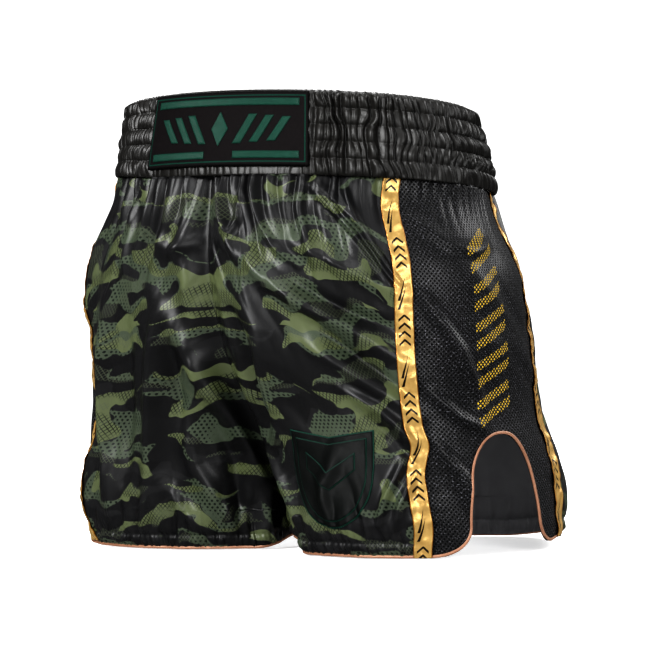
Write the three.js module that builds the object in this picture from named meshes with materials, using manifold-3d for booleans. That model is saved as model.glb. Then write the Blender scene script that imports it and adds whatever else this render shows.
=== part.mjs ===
// Boxing shorts of the Muay Thai cut, in the shape they hold when worn.
// Millimetres, +Z up. The wearer faces -Y and the wearer's left is +X.
// The origin is at the middle of the bounding box in X and Y, on the hem's lowest level.
//
// The shorts are a waist tube that divides into two leg tubes. Each half of the body is one
// tube whose level section is an oval; above the crotch the oval is cut off at the middle
// plane, where the left and right panels are sewn together. Every piece of cloth is a slab
// over a patch of that surface, between two distances from it.

import * as THREE from "three";
import { mergeVertices } from "three/addons/utils/BufferGeometryUtils.js";
import Module from "manifold-3d";

// --- Driving dimensions ---------------------------------------------------------------

// Level sections of one leg tube: height, how far the oval's centre is from the middle
// plane, its half width, and its depth in front of and behind the side seam line.
const SECTIONS = [
  { z: 0, centre: 112, half: 108, front: 80, back: 159 },
  { z: 42, centre: 107, half: 109, front: 91, back: 166 },
  { z: 103, centre: 91, half: 115, front: 98, back: 161 },
  { z: 174, centre: 54, half: 148, front: 116, back: 153 },
  { z: 240, centre: 19, half: 174, front: 126, back: 149 },
  { z: 293, centre: 0, half: 168, front: 121, back: 147 },
  { z: 380, centre: 0, half: 154, front: 106, back: 118 },
];

// The waist rim, and the seam where the waistband meets the panels: their heights at the side,
// and their slopes, which fall to the back.
const RIM = { height: 367, slope: -0.121 };
const WAIST_SEAM = { height: 300, slope: -0.092 };
const INSEAM_LIFT = 10; // the hem is this much higher at the inner thigh
const CORNER_LIFT = 8; // and this much behind the side slit, where its corner turns up

// Degrees round from the front to the tapes over the side seams, at the hem and at the rim.
const FRONT_TAPE = { hem: 35.5, rim: 66.5 };
const BACK_TAPE = { hem: 122, rim: 120 };

const CLOTH = 2; // panels, with their seam allowances
const LAYER = 1.1; // a single layer laid against another
const GAP = 0.3; // clearance between pieces that touch
const PARTING_MARGIN = 0.1; // the same between the halves and the middle plane
const TAPE_WIDTH = 15;
const BINDING = { width: 3, thickness: 3.6 };
const HEM_FACING = { heights: [0, 12], thickness: 0.9 }; // heights above the panels' edge
const HEM_ELASTIC = { heights: [2.5, 9.5], thickness: 1.3 };

const CHANNELS = 5; // elastic channels sewn through the waistband
const CHANNEL_SEAM = 1.4; // the stitched strip between two elastics
const ELASTIC_THICKNESS = 2.2;
const BAND_CLOTH = 1.6; // the gathered outer cloth of the waistband

// The side slit: half its width, its top, where its straight sides start to arch over, and
// how far up and along the hem its bottom corners are rounded. Its arch is a superellipse.
const SLIT = { half: 40, top: 97, shoulder: 26, corner: 26, flare: 24 };
const SLIT_ARCH = { widthPower: 2 / 2.4, heightPower: 2 / 2.6 };

// The front patch: the angles of its middle and its half width, and distances below the rim.
// It stands off the gathers that it is sewn over.
const PATCH = { middle: 5.5, reach: 29, top: 0.5, bottom: 61, thickness: 1.2, standoff: 1 };
const MOTIF_THICKNESS = 0.8;

// Embroidered bars on the patch, one along the top and two along the bottom with a gap
// between them: angles from the patch's middle, and distances below the rim.
const BARS = [
  { name: "patch_top_bar", from: -26, to: 26, top: 6, bottom: 12 },
  { name: "patch_bottom_bar_right", from: -26, to: -5, top: 49, bottom: 55 },
  { name: "patch_bottom_bar_left", from: 5, to: 26, top: 49, bottom: 55 },
];
const BAR_COLUMN = 5; // degrees

// The motif between them: a lozenge with slanted bars on each side, each shorter at both ends.
const SLANTED_BARS = {
  count: 3,
  first: 8.5,
  step: 5.5,
  halfWidth: 1.4,
  slant: 5,
  top: 19,
  bottom: 43,
};
const LOZENGE = { half: 8, height: 28, below: 31 };

// The emblem on the left leg: a plain shield, point down, whose sides turn in from a shoulder
// and whose top dips in the middle.
const EMBLEM = { x: 105, z: 64, half: 39, top: 40, shoulder: 10, bottom: -40, dip: 6 };
const CHEVRON = [
  [0, 4],
  [24, 20],
  [24, 8],
  [0, -10],
  [-24, 8],
  [-24, 20],
];

// The care label: angles, distances below the rim, and thickness once folded.
const LABEL = { from: 170, to: 190, top: 30, bottom: 62, thickness: 0.8 };

const COLUMNS = { front: 7, side: 9, back: 10, waistband: 36, patch: 6, label: 2 };
const ROWS_ABOVE_CROTCH = 9; // closer together towards the crotch, where the seam turns under
const OUTLINE_STEPS = { corner: 6, arch: 8, shield: 6 };

// Outlines are cut out of the cloth by prisms that start inside the body and end outside it.
const SIDE_PRISM = { start: 120, end: 260, below: -20 };
const FRONT_PRISM = { start: 30, end: 150 };

// --- The master surface -----------------------------------------------------------------

const radians = THREE.MathUtils.degToRad;
const degrees = THREE.MathUtils.radToDeg;
const lerp = THREE.MathUtils.lerp;

// A smooth curve through the sections' values of one key that never overshoots them.
function profile(key) {
  const z = SECTIONS.map((s) => s.z);
  const v = SECTIONS.map((s) => s[key]);
  const slope = v.slice(1).map((value, i) => (value - v[i]) / (z[i + 1] - z[i]));
  const tangent = v.map((_, i) => {
    if (i === 0 || i === v.length - 1) return 0;
    const [a, b] = [slope[i - 1], slope[i]];
    return a * b > 0 ? (2 * a * b) / (a + b) : 0;
  });
  tangent[0] = slope[0];
  tangent[v.length - 1] = slope[slope.length - 1];
  return (height) => {
    const h = THREE.MathUtils.clamp(height, z[0], z[z.length - 1]);
    const i = Math.min(z.findLastIndex((level) => level <= h), z.length - 2);
    const span = z[i + 1] - z[i];
    const t = (h - z[i]) / span;
    const [t2, t3] = [t * t, t * t * t];
    return (
      v[i] * (2 * t3 - 3 * t2 + 1) +
      tangent[i] * span * (t3 - 2 * t2 + t) +
      v[i + 1] * (3 * t2 - 2 * t3) +
      tangent[i + 1] * span * (t3 - t2)
    );
  };
}

const centreAt = profile("centre");
const halfAt = profile("half");
const frontAt = profile("front");
const backAt = profile("back");

// How far round past the side of the body the middle plane cuts the oval, in degrees:
// 0 at the waist, and 90 from the crotch down, where the tubes have parted.
function seamTurn(z) {
  return degrees(Math.asin(Math.min(1, centreAt(z) / halfAt(z))));
}

// The outward level normal of the oval at an angle round it (0 front, 90 side, 180 back).
function normalAt(angle, z) {
  const depth = Math.cos(radians(angle)) > 0 ? frontAt(z) : backAt(z);
  const n = new THREE.Vector2(
    Math.sin(radians(angle)) / halfAt(z),
    -Math.cos(radians(angle)) / depth,
  );
  return n.normalize();
}

// How far a half is moved sideways so that its outer face stays on its side of the middle plane.
function partingAt(z) {
  const turn = seamTurn(z);
  const lean = Math.max(-normalAt(-turn, z).x, -normalAt(180 + turn, z).x, 0);
  return GAP / 2 + (BINDING.thickness / 2 + PARTING_MARGIN) * lean;
}

// A point on one half: side is +1 for the wearer's left, and out is the distance from the surface.
function surfacePoint(side, angle, z, out) {
  const turned = radians(angle);
  const depth = Math.cos(turned) > 0 ? frontAt(z) : backAt(z);
  const n = normalAt(angle, z);
  return new THREE.Vector3(
    side * (partingAt(z) + centreAt(z) + halfAt(z) * Math.sin(turned) + out * n.x),
    -depth * Math.cos(turned) + out * n.y,
    z,
  );
}

// Degrees round the oval that cover one millimetre of cloth at an angle.
function degreesPerMillimetre(angle, z) {
  const turned = radians(angle);
  const depth = Math.cos(turned) > 0 ? frontAt(z) : backAt(z);
  return degrees(1 / Math.hypot(halfAt(z) * Math.cos(turned), depth * Math.sin(turned)));
}

// The height of the rim or the waist seam at an angle.
function tiltedLine(line, angle) {
  const depth = Math.cos(radians(angle)) > 0 ? frontAt(line.height) : backAt(line.height);
  return line.height - line.slope * depth * Math.cos(radians(angle));
}

const frontTapeAt = (z) => lerp(FRONT_TAPE.hem, FRONT_TAPE.rim, z / RIM.height);
const backTapeAt = (z) => lerp(BACK_TAPE.hem, BACK_TAPE.rim, z / RIM.height);

// The height of the hem: flat, but lifted at the inner thigh and behind the side slit.
function hemAt(angle) {
  const { smoothstep } = THREE.MathUtils;
  const inward = angle < 90 ? -angle : angle - 180; // 90 at the inseam
  const behindSlit = smoothstep(angle, 90, 125) * (1 - smoothstep(angle, 145, 190));
  return INSEAM_LIFT * smoothstep(inward, 25, 90) + CORNER_LIFT * behindSlit;
}

// --- Solids -----------------------------------------------------------------------------

// A closed slab over a grid. point(i, j, outer) is the grid's point on the inner or outer
// face, with i from 0 to columns and j from 0 to rows. A ring closes on itself in i.
function slab(columns, rows, point, { ring = false, mirrored = false } = {}) {
  const across = ring ? columns : columns + 1;
  const positions = [];
  for (const outer of [false, true]) {
    for (let j = 0; j <= rows; j++) {
      for (let i = 0; i < across; i++) positions.push(...point(i, j, outer).toArray());
    }
  }
  const index = [];
  const at = (i, j, outer) =>
    (outer ? across * (rows + 1) : 0) + j * across + (i % across);
  const quad = (a, b, c, d) => {
    if (mirrored) index.push(a, c, b, a, d, c);
    else index.push(a, b, c, a, c, d);
  };
  for (let j = 0; j < rows; j++) {
    for (let i = 0; i < columns; i++) {
      quad(at(i, j, true), at(i, j + 1, true), at(i + 1, j + 1, true), at(i + 1, j, true));
      quad(at(i, j, false), at(i + 1, j, false), at(i + 1, j + 1, false), at(i, j + 1, false));
    }
  }
  for (let i = 0; i < columns; i++) {
    quad(at(i, 0, false), at(i, 0, true), at(i + 1, 0, true), at(i + 1, 0, false));
    quad(at(i, rows, true), at(i, rows, false), at(i + 1, rows, false), at(i + 1, rows, true));
  }
  for (let j = 0; j < rows && !ring; j++) {
    quad(at(0, j, true), at(0, j, false), at(0, j + 1, false), at(0, j + 1, true));
    quad(
      at(columns, j, false),
      at(columns, j, true),
      at(columns, j + 1, true),
      at(columns, j + 1, false),
    );
  }
  const geometry = new THREE.BufferGeometry();
  geometry.setAttribute("position", new THREE.Float32BufferAttribute(positions, 3));
  geometry.setIndex(index);
  return geometry;
}

const wasm = await Module();
wasm.setup();

function toSolid(geometry) {
  const bare = geometry.clone();
  bare.deleteAttribute("normal");
  bare.deleteAttribute("uv");
  const merged = mergeVertices(bare);
  return new wasm.Manifold(
    new wasm.Mesh({
      numProp: 3,
      vertProperties: merged.attributes.position.array,
      triVerts: new Uint32Array(merged.index.array),
    }),
  );
}

function toGeometry(solid) {
  const mesh = solid.getMesh();
  const geometry = new THREE.BufferGeometry();
  geometry.setAttribute("position", new THREE.Float32BufferAttribute(mesh.vertProperties, 3));
  geometry.setIndex(new THREE.BufferAttribute(mesh.triVerts, 1));
  return geometry;
}

// Where the body divides into two legs: the highest level at which an oval is whole.
const crotchHeight = (() => {
  let z = SECTIONS[1].z;
  while (centreAt(z) < halfAt(z)) z -= 0.25;
  return z;
})();

// The panels' levels, each a share of the way from the waist seam to the hem.
const LEVELS = (() => {
  const top = tiltedLine(WAIST_SEAM, 0);
  const bottom = INSEAM_LIFT + BINDING.width;
  const heights = [];
  for (let k = 0; k <= ROWS_ABOVE_CROTCH; k++) {
    const share = 1 - k / ROWS_ABOVE_CROTCH;
    heights.push(crotchHeight + (top - crotchHeight) * share * share);
  }
  heights.push((crotchHeight + bottom) / 2, bottom);
  return heights.map((z) => (top - z) / (top - bottom));
})();

// A patch of one half. anglesAt gives the angle of every column at a height, and ends give
// the heights of the patch's top and bottom edges at an angle.
function panel(side, anglesAt, ends, [inner, outer]) {
  const highest = anglesAt(WAIST_SEAM.height);
  const lowest = anglesAt(0);
  return slab(
    highest.length - 1,
    LEVELS.length - 1,
    (i, j, isOuter) => {
      const z = lerp(ends.top(highest[i]), ends.bottom(lowest[i]), LEVELS[j]);
      return surfacePoint(side, anglesAt(z)[i], z, isOuter ? outer : inner);
    },
    { mirrored: side < 0 },
  );
}

const panelEnds = {
  top: (angle) => tiltedLine(WAIST_SEAM, angle) - GAP,
  bottom: (angle) => hemAt(angle) + BINDING.width + GAP,
};

const spread = (from, to, count) =>
  Array.from({ length: count + 1 }, (_, i) => lerp(from, to, i / count));

// The angle a number of millimetres round from another one.
const besideAngle = (angle, z, distance) => angle + distance * degreesPerMillimetre(angle, z);

// Each panel has a narrow column under the half of a tape that lies on it, and stops half a
// gap short of the seam. Below the crotch the front and back panels meet at the inseam.
const SEAM_ALLOWANCE = GAP / 2 + PARTING_MARGIN;

function inseam(z) {
  const turn = seamTurn(z);
  return z > crotchHeight ? turn : turn - SEAM_ALLOWANCE * degreesPerMillimetre(-turn, z);
}

function frontAngles(z) {
  const line = frontTapeAt(z);
  return [
    ...spread(-inseam(z), besideAngle(line, z, -TAPE_WIDTH / 2), COLUMNS.front),
    besideAngle(line, z, -SEAM_ALLOWANCE),
  ];
}

function backAngles(z) {
  const line = backTapeAt(z);
  return [
    besideAngle(line, z, SEAM_ALLOWANCE),
    ...spread(besideAngle(line, z, TAPE_WIDTH / 2), 180 + inseam(z), COLUMNS.back),
  ];
}

function sideAngles(z) {
  const [front, back] = [frontTapeAt(z), backTapeAt(z)];
  return [
    besideAngle(front, z, SEAM_ALLOWANCE),
    ...spread(
      besideAngle(front, z, TAPE_WIDTH / 2),
      besideAngle(back, z, -TAPE_WIDTH / 2),
      COLUMNS.side,
    ),
    besideAngle(back, z, -SEAM_ALLOWANCE),
  ];
}

const tapeAngles = (line) => (z) =>
  [-TAPE_WIDTH / 2, 0, TAPE_WIDTH / 2].map((step) => besideAngle(line(z), z, step));

// The outline of the side slit seen from the side: a round-topped opening whose sides turn
// out into the hem in rounded corners. grow moves the outline into the cloth.
function slitOutline(grow) {
  const { half, top, shoulder, corner, flare } = SLIT;
  const radius = corner - grow;
  const points = [];
  for (let k = 0; k <= OUTLINE_STEPS.corner; k++) {
    const turn = (Math.PI / 2) * (k / OUTLINE_STEPS.corner);
    points.push([
      half + corner - radius * Math.sin(turn) + (flare - corner) * Math.cos(turn),
      corner - radius * Math.cos(turn),
    ]);
  }
  for (let k = 1; k <= OUTLINE_STEPS.arch; k++) {
    const turn = (Math.PI / 2) * (k / OUTLINE_STEPS.arch);
    points.push([
      (half + grow) * Math.cos(turn) ** SLIT_ARCH.widthPower,
      shoulder + (top + grow - shoulder) * Math.sin(turn) ** SLIT_ARCH.heightPower,
    ]);
  }
  const mirrored = points.slice(0, -1).reverse().map(([y, z]) => [-y, z]);
  return [
    [points[0][0], SIDE_PRISM.below],
    ...points,
    ...mirrored,
    [-points[0][0], SIDE_PRISM.below],
  ];
}

// The slit's outline as a prism that passes through one side of the shorts.
function slitPrism(side, grow) {
  const shape = new THREE.Shape(slitOutline(grow).map(([y, z]) => new THREE.Vector2(y, z)));
  const depth = SIDE_PRISM.end - SIDE_PRISM.start;
  const geometry = new THREE.ExtrudeGeometry(shape, { depth, bevelEnabled: false });
  // The outline's first axis becomes Y, its second Z, and the extrusion runs along X.
  const toSide = new THREE.Matrix4().makeBasis(
    new THREE.Vector3(0, 1, 0),
    new THREE.Vector3(0, 0, 1),
    new THREE.Vector3(1, 0, 0),
  );
  geometry.applyMatrix4(toSide);
  geometry.translate(side > 0 ? SIDE_PRISM.start : -SIDE_PRISM.end, 0, 0);
  return toSolid(geometry);
}

// --- Materials --------------------------------------------------------------------------

const cloth = (color, roughness, metalness = 0) =>
  new THREE.MeshStandardMaterial({ color, roughness, metalness });
const materials = {
  camo: cloth(0x2e3528, 0.42),
  blackSatin: cloth(0x1b1a19, 0.45),
  mesh: cloth(0x0e0e10, 0.75),
  underlay: cloth(0x141416, 0.7),
  gold: cloth(0xd79a34, 0.35, 0.2),
  copper: cloth(0xb9785a, 0.45, 0.1),
  elastic: cloth(0xd8d5cc, 0.85),
  patch: cloth(0x171114, 0.8),
  thread: cloth(0x0f5a44, 0.5),
  lining: cloth(0x3a3a3a, 0.6),
  label: cloth(0xe6e6e2, 0.7),
};

const shorts = new THREE.Group();

function add(name, geometry, material) {
  const mesh = new THREE.Mesh(geometry, material);
  mesh.name = name;
  geometry.computeVertexNormals();
  shorts.add(mesh);
}

// --- Leg panels, tapes and bindings -------------------------------------------------------

const SHELL = [-CLOTH / 2, CLOTH / 2];
const ON_SHELL = [CLOTH / 2 + GAP, CLOTH / 2 + GAP + LAYER];
const BEHIND_SHELL = [-CLOTH / 2 - GAP - LAYER, -CLOTH / 2 - GAP];
const IN_CASING = [BEHIND_SHELL[1] - HEM_ELASTIC.thickness, BEHIND_SHELL[1]];
const CASING_FACE = [IN_CASING[0] - GAP - HEM_FACING.thickness, IN_CASING[0] - GAP];

function sidePanel(side, layers) {
  const whole = toSolid(panel(side, sideAngles, panelEnds, layers));
  return toGeometry(whole.subtract(slitPrism(side, BINDING.width + GAP)));
}

// The binding runs round the whole leg opening: along the hem and up round the slit.
function binding(side) {
  const layers = [-BINDING.thickness / 2, BINDING.thickness / 2];
  const angles = [
    ...frontAngles(0),
    ...sideAngles(0).slice(1),
    ...backAngles(0).slice(1),
  ];
  const hem = slab(
    angles.length,
    1,
    (i, j, isOuter) => {
      const angle = angles[i % angles.length];
      const z = hemAt(angle) + (j ? 0 : BINDING.width);
      return surfacePoint(side, angle, z, layers[isOuter ? 1 : 0]);
    },
    { ring: true, mirrored: side < 0 },
  );
  const ends = { top: () => SLIT.top + 20, bottom: hemAt };
  const roundSlit = toSolid(panel(side, sideAngles, ends, layers));
  const edge = roundSlit.intersect(slitPrism(side, BINDING.width));
  return toGeometry(toSolid(hem).add(edge).subtract(slitPrism(side, 0)));
}

// A strip along the inside of a panel's hem, between two heights above the panel's edge.
function hemStrip(side, anglesAt, [first, last], [low, high], layers) {
  const lowest = anglesAt(0);
  return slab(
    last - first,
    1,
    (i, j, isOuter) => {
      const column = first + i;
      const z = panelEnds.bottom(lowest[column]) + (j ? low : high);
      return surfacePoint(side, anglesAt(z)[column], z, layers[isOuter ? 1 : 0]);
    },
    { mirrored: side < 0 },
  );
}

const SIDES = [
  ["left", 1],
  ["right", -1],
];

for (const [word, side] of SIDES) {
  const front = panel(side, frontAngles, panelEnds, SHELL);
  const back = panel(side, backAngles, panelEnds, SHELL);
  const frontTape = panel(side, tapeAngles(frontTapeAt), panelEnds, ON_SHELL);
  const backTape = panel(side, tapeAngles(backTapeAt), panelEnds, ON_SHELL);
  add(`${word}_front_panel`, front, materials.camo);
  add(`${word}_back_panel`, back, materials.camo);
  add(`${word}_side_mesh`, sidePanel(side, SHELL), materials.mesh);
  add(`${word}_side_underlay`, sidePanel(side, BEHIND_SHELL), materials.underlay);
  add(`${word}_front_tape`, frontTape, materials.gold);
  add(`${word}_back_tape`, backTape, materials.gold);
  add(`${word}_leg_binding`, binding(side), materials.copper);

  const hems = [
    ["front", frontAngles, [0, COLUMNS.front]],
    ["back", backAngles, [1, COLUMNS.back + 1]],
  ];
  for (const [place, anglesAt, columns] of hems) {
    const elastic = hemStrip(side, anglesAt, columns, HEM_ELASTIC.heights, IN_CASING);
    const facing = hemStrip(side, anglesAt, columns, HEM_FACING.heights, CASING_FACE);
    add(`${word}_${place}_hem_elastic`, elastic, materials.elastic);
    add(`${word}_${place}_hem_facing`, facing, materials.lining);
  }
}

// --- Waistband ----------------------------------------------------------------------------

// A ring of the waistband between two shares of the way down from the rim to the waist seam.
function waistRing(levels, layers) {
  const step = 360 / COLUMNS.waistband;
  return slab(
    COLUMNS.waistband,
    levels.length - 1,
    (i, j, isOuter) => {
      const angle = i * step;
      const z = lerp(tiltedLine(RIM, angle), tiltedLine(WAIST_SEAM, angle), levels[j]);
      const at = surfacePoint(1, angle, z, isOuter ? layers[1] : layers[0]);
      at.x -= partingAt(z);
      return at;
    },
    { ring: true },
  );
}

const ELASTIC_LAYERS = [-ELASTIC_THICKNESS / 2, ELASTIC_THICKNESS / 2];
const OUTER_LAYERS = [ELASTIC_LAYERS[1] + GAP, ELASTIC_LAYERS[1] + GAP + BAND_CLOTH];
const LINING_LAYERS = [ELASTIC_LAYERS[0] - GAP - LAYER, ELASTIC_LAYERS[0] - GAP];
const channelEdges = Array.from({ length: CHANNELS + 1 }, (_, k) => k / CHANNELS);
const bandHeight = RIM.height - WAIST_SEAM.height;
const seamShare = CHANNEL_SEAM / 2 / bandHeight;

add("waistband_outer", waistRing(channelEdges, OUTER_LAYERS), materials.blackSatin);
add("waistband_lining", waistRing(channelEdges, LINING_LAYERS), materials.blackSatin);
for (let k = 0; k < CHANNELS; k++) {
  const band = [channelEdges[k] + seamShare, channelEdges[k + 1] - seamShare];
  add(`waist_elastic_${k + 1}`, waistRing(band, ELASTIC_LAYERS), materials.elastic);
}

// A piece sewn on the waistband, between two angles and two distances below the rim.
function onWaistband(from, to, top, bottom, layers, columns, slant = 0) {
  return slab(
    columns,
    1,
    (i, j, isOuter) => {
      const lean = slant * (j ? -0.5 : 0.5);
      const angle = lerp(from, to, i / columns) + lean;
      const z = tiltedLine(RIM, angle) - (j ? bottom : top);
      const at = surfacePoint(1, angle, z, isOuter ? layers[1] : layers[0]);
      at.x -= partingAt(z);
      return at;
    },
  );
}

const PATCH_BACK = OUTER_LAYERS[1] + PATCH.standoff;
const PATCH_LAYERS = [PATCH_BACK, PATCH_BACK + PATCH.thickness];
const STITCH_LAYERS = [PATCH_LAYERS[1] + GAP, PATCH_LAYERS[1] + GAP + MOTIF_THICKNESS];

// The same, at angles from the patch's middle.
const onPatch = (from, to, ...rest) =>
  onWaistband(PATCH.middle + from, PATCH.middle + to, ...rest);

add(
  "patch_base",
  onPatch(-PATCH.reach, PATCH.reach, PATCH.top, PATCH.bottom, PATCH_LAYERS, COLUMNS.patch),
  materials.patch,
);

for (const { name, from, to, top, bottom } of BARS) {
  const columns = Math.ceil((to - from) / BAR_COLUMN);
  add(name, onPatch(from, to, top, bottom, STITCH_LAYERS, columns), materials.thread);
}

for (const [word, side] of SIDES) {
  const { count, first, step, halfWidth, slant, top, bottom } = SLANTED_BARS;
  for (let k = 0; k < count; k++) {
    const middle = side * (first + step * k);
    const [from, to] = [middle - halfWidth, middle + halfWidth];
    const bar = onPatch(from, to, top + k, bottom - k, STITCH_LAYERS, 1, side * slant);
    add(`patch_motif_${word}_${k + 1}`, bar, materials.thread);
  }
}

// A flat outline in X and Z as a prism that passes through the front of the shorts.
function frontPrism(outline, x, z) {
  const shape = new THREE.Shape(outline.map(([a, b]) => new THREE.Vector2(a, b)));
  const depth = FRONT_PRISM.end - FRONT_PRISM.start;
  const geometry = new THREE.ExtrudeGeometry(shape, { depth, bevelEnabled: false });
  geometry.rotateX(Math.PI / 2);
  geometry.translate(x, -FRONT_PRISM.start, z);
  return toSolid(geometry);
}

const lozengeOutline = [
  [0, -LOZENGE.height / 2],
  [LOZENGE.half, 0],
  [0, LOZENGE.height / 2],
  [-LOZENGE.half, 0],
];
const lozengeAt = surfacePoint(1, PATCH.middle, RIM.height, 0).x - partingAt(RIM.height);
const lozengePrism = frontPrism(
  lozengeOutline,
  lozengeAt,
  tiltedLine(RIM, PATCH.middle) - LOZENGE.below,
);
const lozengeReach = 2 * BAR_COLUMN;
const lozengeCloth = toSolid(
  onPatch(-lozengeReach, lozengeReach, BARS[0].top, BARS[1].bottom, STITCH_LAYERS, 4),
);
add(
  "patch_motif_lozenge",
  toGeometry(lozengeCloth.intersect(lozengePrism)),
  materials.thread,
);

// --- Emblem on the left leg -----------------------------------------------------------------

const shieldOutline = (() => {
  const { half, top, shoulder, bottom, dip } = EMBLEM;
  const sides = [];
  for (let k = 0; k <= OUTLINE_STEPS.shield; k++) {
    const share = k / OUTLINE_STEPS.shield;
    sides.push([half * Math.cos((share * Math.PI) / 2), lerp(shoulder, bottom, share)]);
  }
  const left = sides.slice(0, -1).reverse().map(([x, z]) => [-x, z]);
  return [[half, top], ...sides, ...left, [-half, top], [0, top - dip]];
})();

function emblemLayer(outline, layers) {
  const sheet = toSolid(panel(1, frontAngles, panelEnds, layers));
  return toGeometry(sheet.intersect(frontPrism(outline, EMBLEM.x, EMBLEM.z)));
}

const CHEVRON_LAYERS = [ON_SHELL[1] + GAP, ON_SHELL[1] + GAP + MOTIF_THICKNESS];
add("emblem_shield", emblemLayer(shieldOutline, ON_SHELL), materials.patch);
add("emblem_chevron", emblemLayer(CHEVRON, CHEVRON_LAYERS), materials.thread);

// --- Care label, folded and sewn inside the back of the waistband -----------------------------

const { from, to, top, bottom, thickness } = LABEL;
const LABEL_LAYERS = [LINING_LAYERS[0] - GAP - thickness, LINING_LAYERS[0] - GAP];
add("care_label", onWaistband(from, to, top, bottom, LABEL_LAYERS, COLUMNS.label), materials.label);

// --- Frame --------------------------------------------------------------------------------

const box = new THREE.Box3().setFromObject(shorts);
const middle = box.getCenter(new THREE.Vector3());
shorts.position.set(-middle.x, -middle.y, -box.min.z);

export default shorts;
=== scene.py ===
"""Boxing shorts of the Muay Thai cut: the visible cloth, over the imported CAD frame.

Shapes are worked out in millimetres round the same leg surface as the CAD solids, and turned
into metres when a mesh is made. The wearer faces -Y and the wearer's left is +X. Angles go
round a leg in degrees: 0 is the front, 90 the outer side and 180 the back. A side is 1 for
the wearer's left leg and -1 for the right one.
"""

import math

import bpy
import numpy as np
from mathutils import Matrix, Vector

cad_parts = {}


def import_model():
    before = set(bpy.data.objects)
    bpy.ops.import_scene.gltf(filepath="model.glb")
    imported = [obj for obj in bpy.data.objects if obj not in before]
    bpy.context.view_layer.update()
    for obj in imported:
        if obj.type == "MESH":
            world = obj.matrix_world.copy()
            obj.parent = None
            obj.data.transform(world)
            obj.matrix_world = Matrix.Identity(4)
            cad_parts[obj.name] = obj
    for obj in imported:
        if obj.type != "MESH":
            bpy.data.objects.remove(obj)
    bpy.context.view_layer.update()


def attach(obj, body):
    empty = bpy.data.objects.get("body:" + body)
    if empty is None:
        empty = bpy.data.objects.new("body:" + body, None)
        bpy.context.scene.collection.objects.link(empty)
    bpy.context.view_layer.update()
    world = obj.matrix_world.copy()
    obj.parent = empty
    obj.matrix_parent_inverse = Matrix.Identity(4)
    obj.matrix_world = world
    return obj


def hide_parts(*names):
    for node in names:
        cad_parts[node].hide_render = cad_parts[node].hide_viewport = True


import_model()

# --- Dimensions, in millimetres ---------------------------------------------------------

# Level sections of one leg tube: height, how far the oval's centre is from the middle
# plane, its half width, and its depth in front of and behind the side line.
SECTIONS = np.array(
    [
        (0, 112, 108, 80, 159),
        (42, 107, 109, 91, 166),
        (103, 91, 115, 98, 161),
        (174, 54, 148, 116, 153),
        (240, 19, 174, 126, 149),
        (293, 0, 168, 121, 147),
        (380, 0, 154, 106, 118),
    ],
    dtype=float,
)
SIDE_LINE_Y = -20.1  # where the side line lies in the frame
CROTCH = 33.0
RIM = (367.0, -0.121)  # height at the side line, and slope
WAIST_SEAM = (300.0, -0.092)
RIGHT_HIP_LIFT = 8.0
INSEAM_LIFT = 10.0
CORNER_LIFT = 8.0
RIGHT_CORNER_LIFT = 5.0
SEAM_SIDE = 89.8  # the angle of the inseam below the crotch, counted from front or back
TAPES = {"front": (35.5, 66.5), "back": (122.0, 120.0)}  # degrees, at the hem and the rim
# Where a tape wanders off its line: side, tape, height, half height, degrees.
TAPE_WANDER = [
    (1, "front", 90, 11, 2.0),
    (1, "front", 66, 9, -0.8),
    (1, "front", 24, 18, 1.6),
    (-1, "front", 116, 17, -5.0),
]
TAPE_WIDTH = 15.0
SLIT = {"half": 40.0, "top": 97.0, "shoulder": 26.0, "corner": 26.0, "flare": 24.0}
SLIT_POWERS = (2.4, 2.6)  # how square the arch of a slit is, across and upwards
CHANNELS = 5
CHANNEL_EDGE = 0.1  # the share of a channel between its stitching and its elastic
BAND_OVAL = (161, 113.0, 132.0)  # the waistband's half width, front and back depth
PATCH = {"middle": 5.5, "reach": 29.0, "top": 0.5, "bottom": 61.0}
PATCH_MM_PER_DEGREE = 2.75
STITCHING = (6.5, 0.9)  # how far the patch's green stitching is from the oval, and its height
CLOTH = 0.7  # thickness of one layer of satin
MESH_CLOTH = {"mesh": 0.6, "underlay": 0.5}
UNDERLAY_GAP = 1.3
TAPE_CLOTH = 0.5
BINDING = {"width": 2.5, "thickness": 2.0, "cloth": 0.45, "step": 1.6}
# The slanted bars printed under the mesh: the angle of their middle, heights, half width.
PRINT = {"middle": 88.5, "bottom": 107.0, "pitch": 31.0, "half": 20.0, "count": 5, "lean": 0.42}
EMBLEM = {"x": 105.0, "z": 64.0, "half": 39.0}

# --- Small mathematics ------------------------------------------------------------------

HASH = (374761393, 668265263, 974634777, 1274126177)
LOW_32 = 0xFFFFFFFF
LOW_16 = 0xFFFF
PLEAT_JITTER = 0.7


def smoothstep(x, low, high):
    t = np.clip((np.asarray(x, float) - low) / (high - low), 0, 1)
    return t * t * (3 - 2 * t)


def bell(x, reach, power=2):
    """1 at 0, fading to 0 past the reach."""
    return np.exp(-((x / reach) ** power))


def profile(column):
    """A smooth curve through one column of the sections that never overshoots them."""
    z, v = SECTIONS[:, 0], SECTIONS[:, column]
    slope = np.diff(v) / np.diff(z)
    tangent = np.zeros(len(v))
    a, b = slope[:-1], slope[1:]
    same = a * b > 0
    tangent[1:-1][same] = 2 * a[same] * b[same] / (a + b)[same]
    tangent[0], tangent[-1] = slope[0], slope[-1]

    def at(height):
        h = np.clip(np.asarray(height, float), z[0], z[-1])
        i = np.clip(np.searchsorted(z, h, side="right") - 1, 0, len(z) - 2)
        span = z[i + 1] - z[i]
        t = (h - z[i]) / span
        return (
            v[i] * (2 * t**3 - 3 * t**2 + 1)
            + tangent[i] * span * (t**3 - 2 * t**2 + t)
            + v[i + 1] * (3 * t**2 - 2 * t**3)
            + tangent[i + 1] * span * (t**3 - t**2)
        )

    return at


centre_at, half_at, front_at, back_at = (profile(c) for c in (1, 2, 3, 4))


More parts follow.
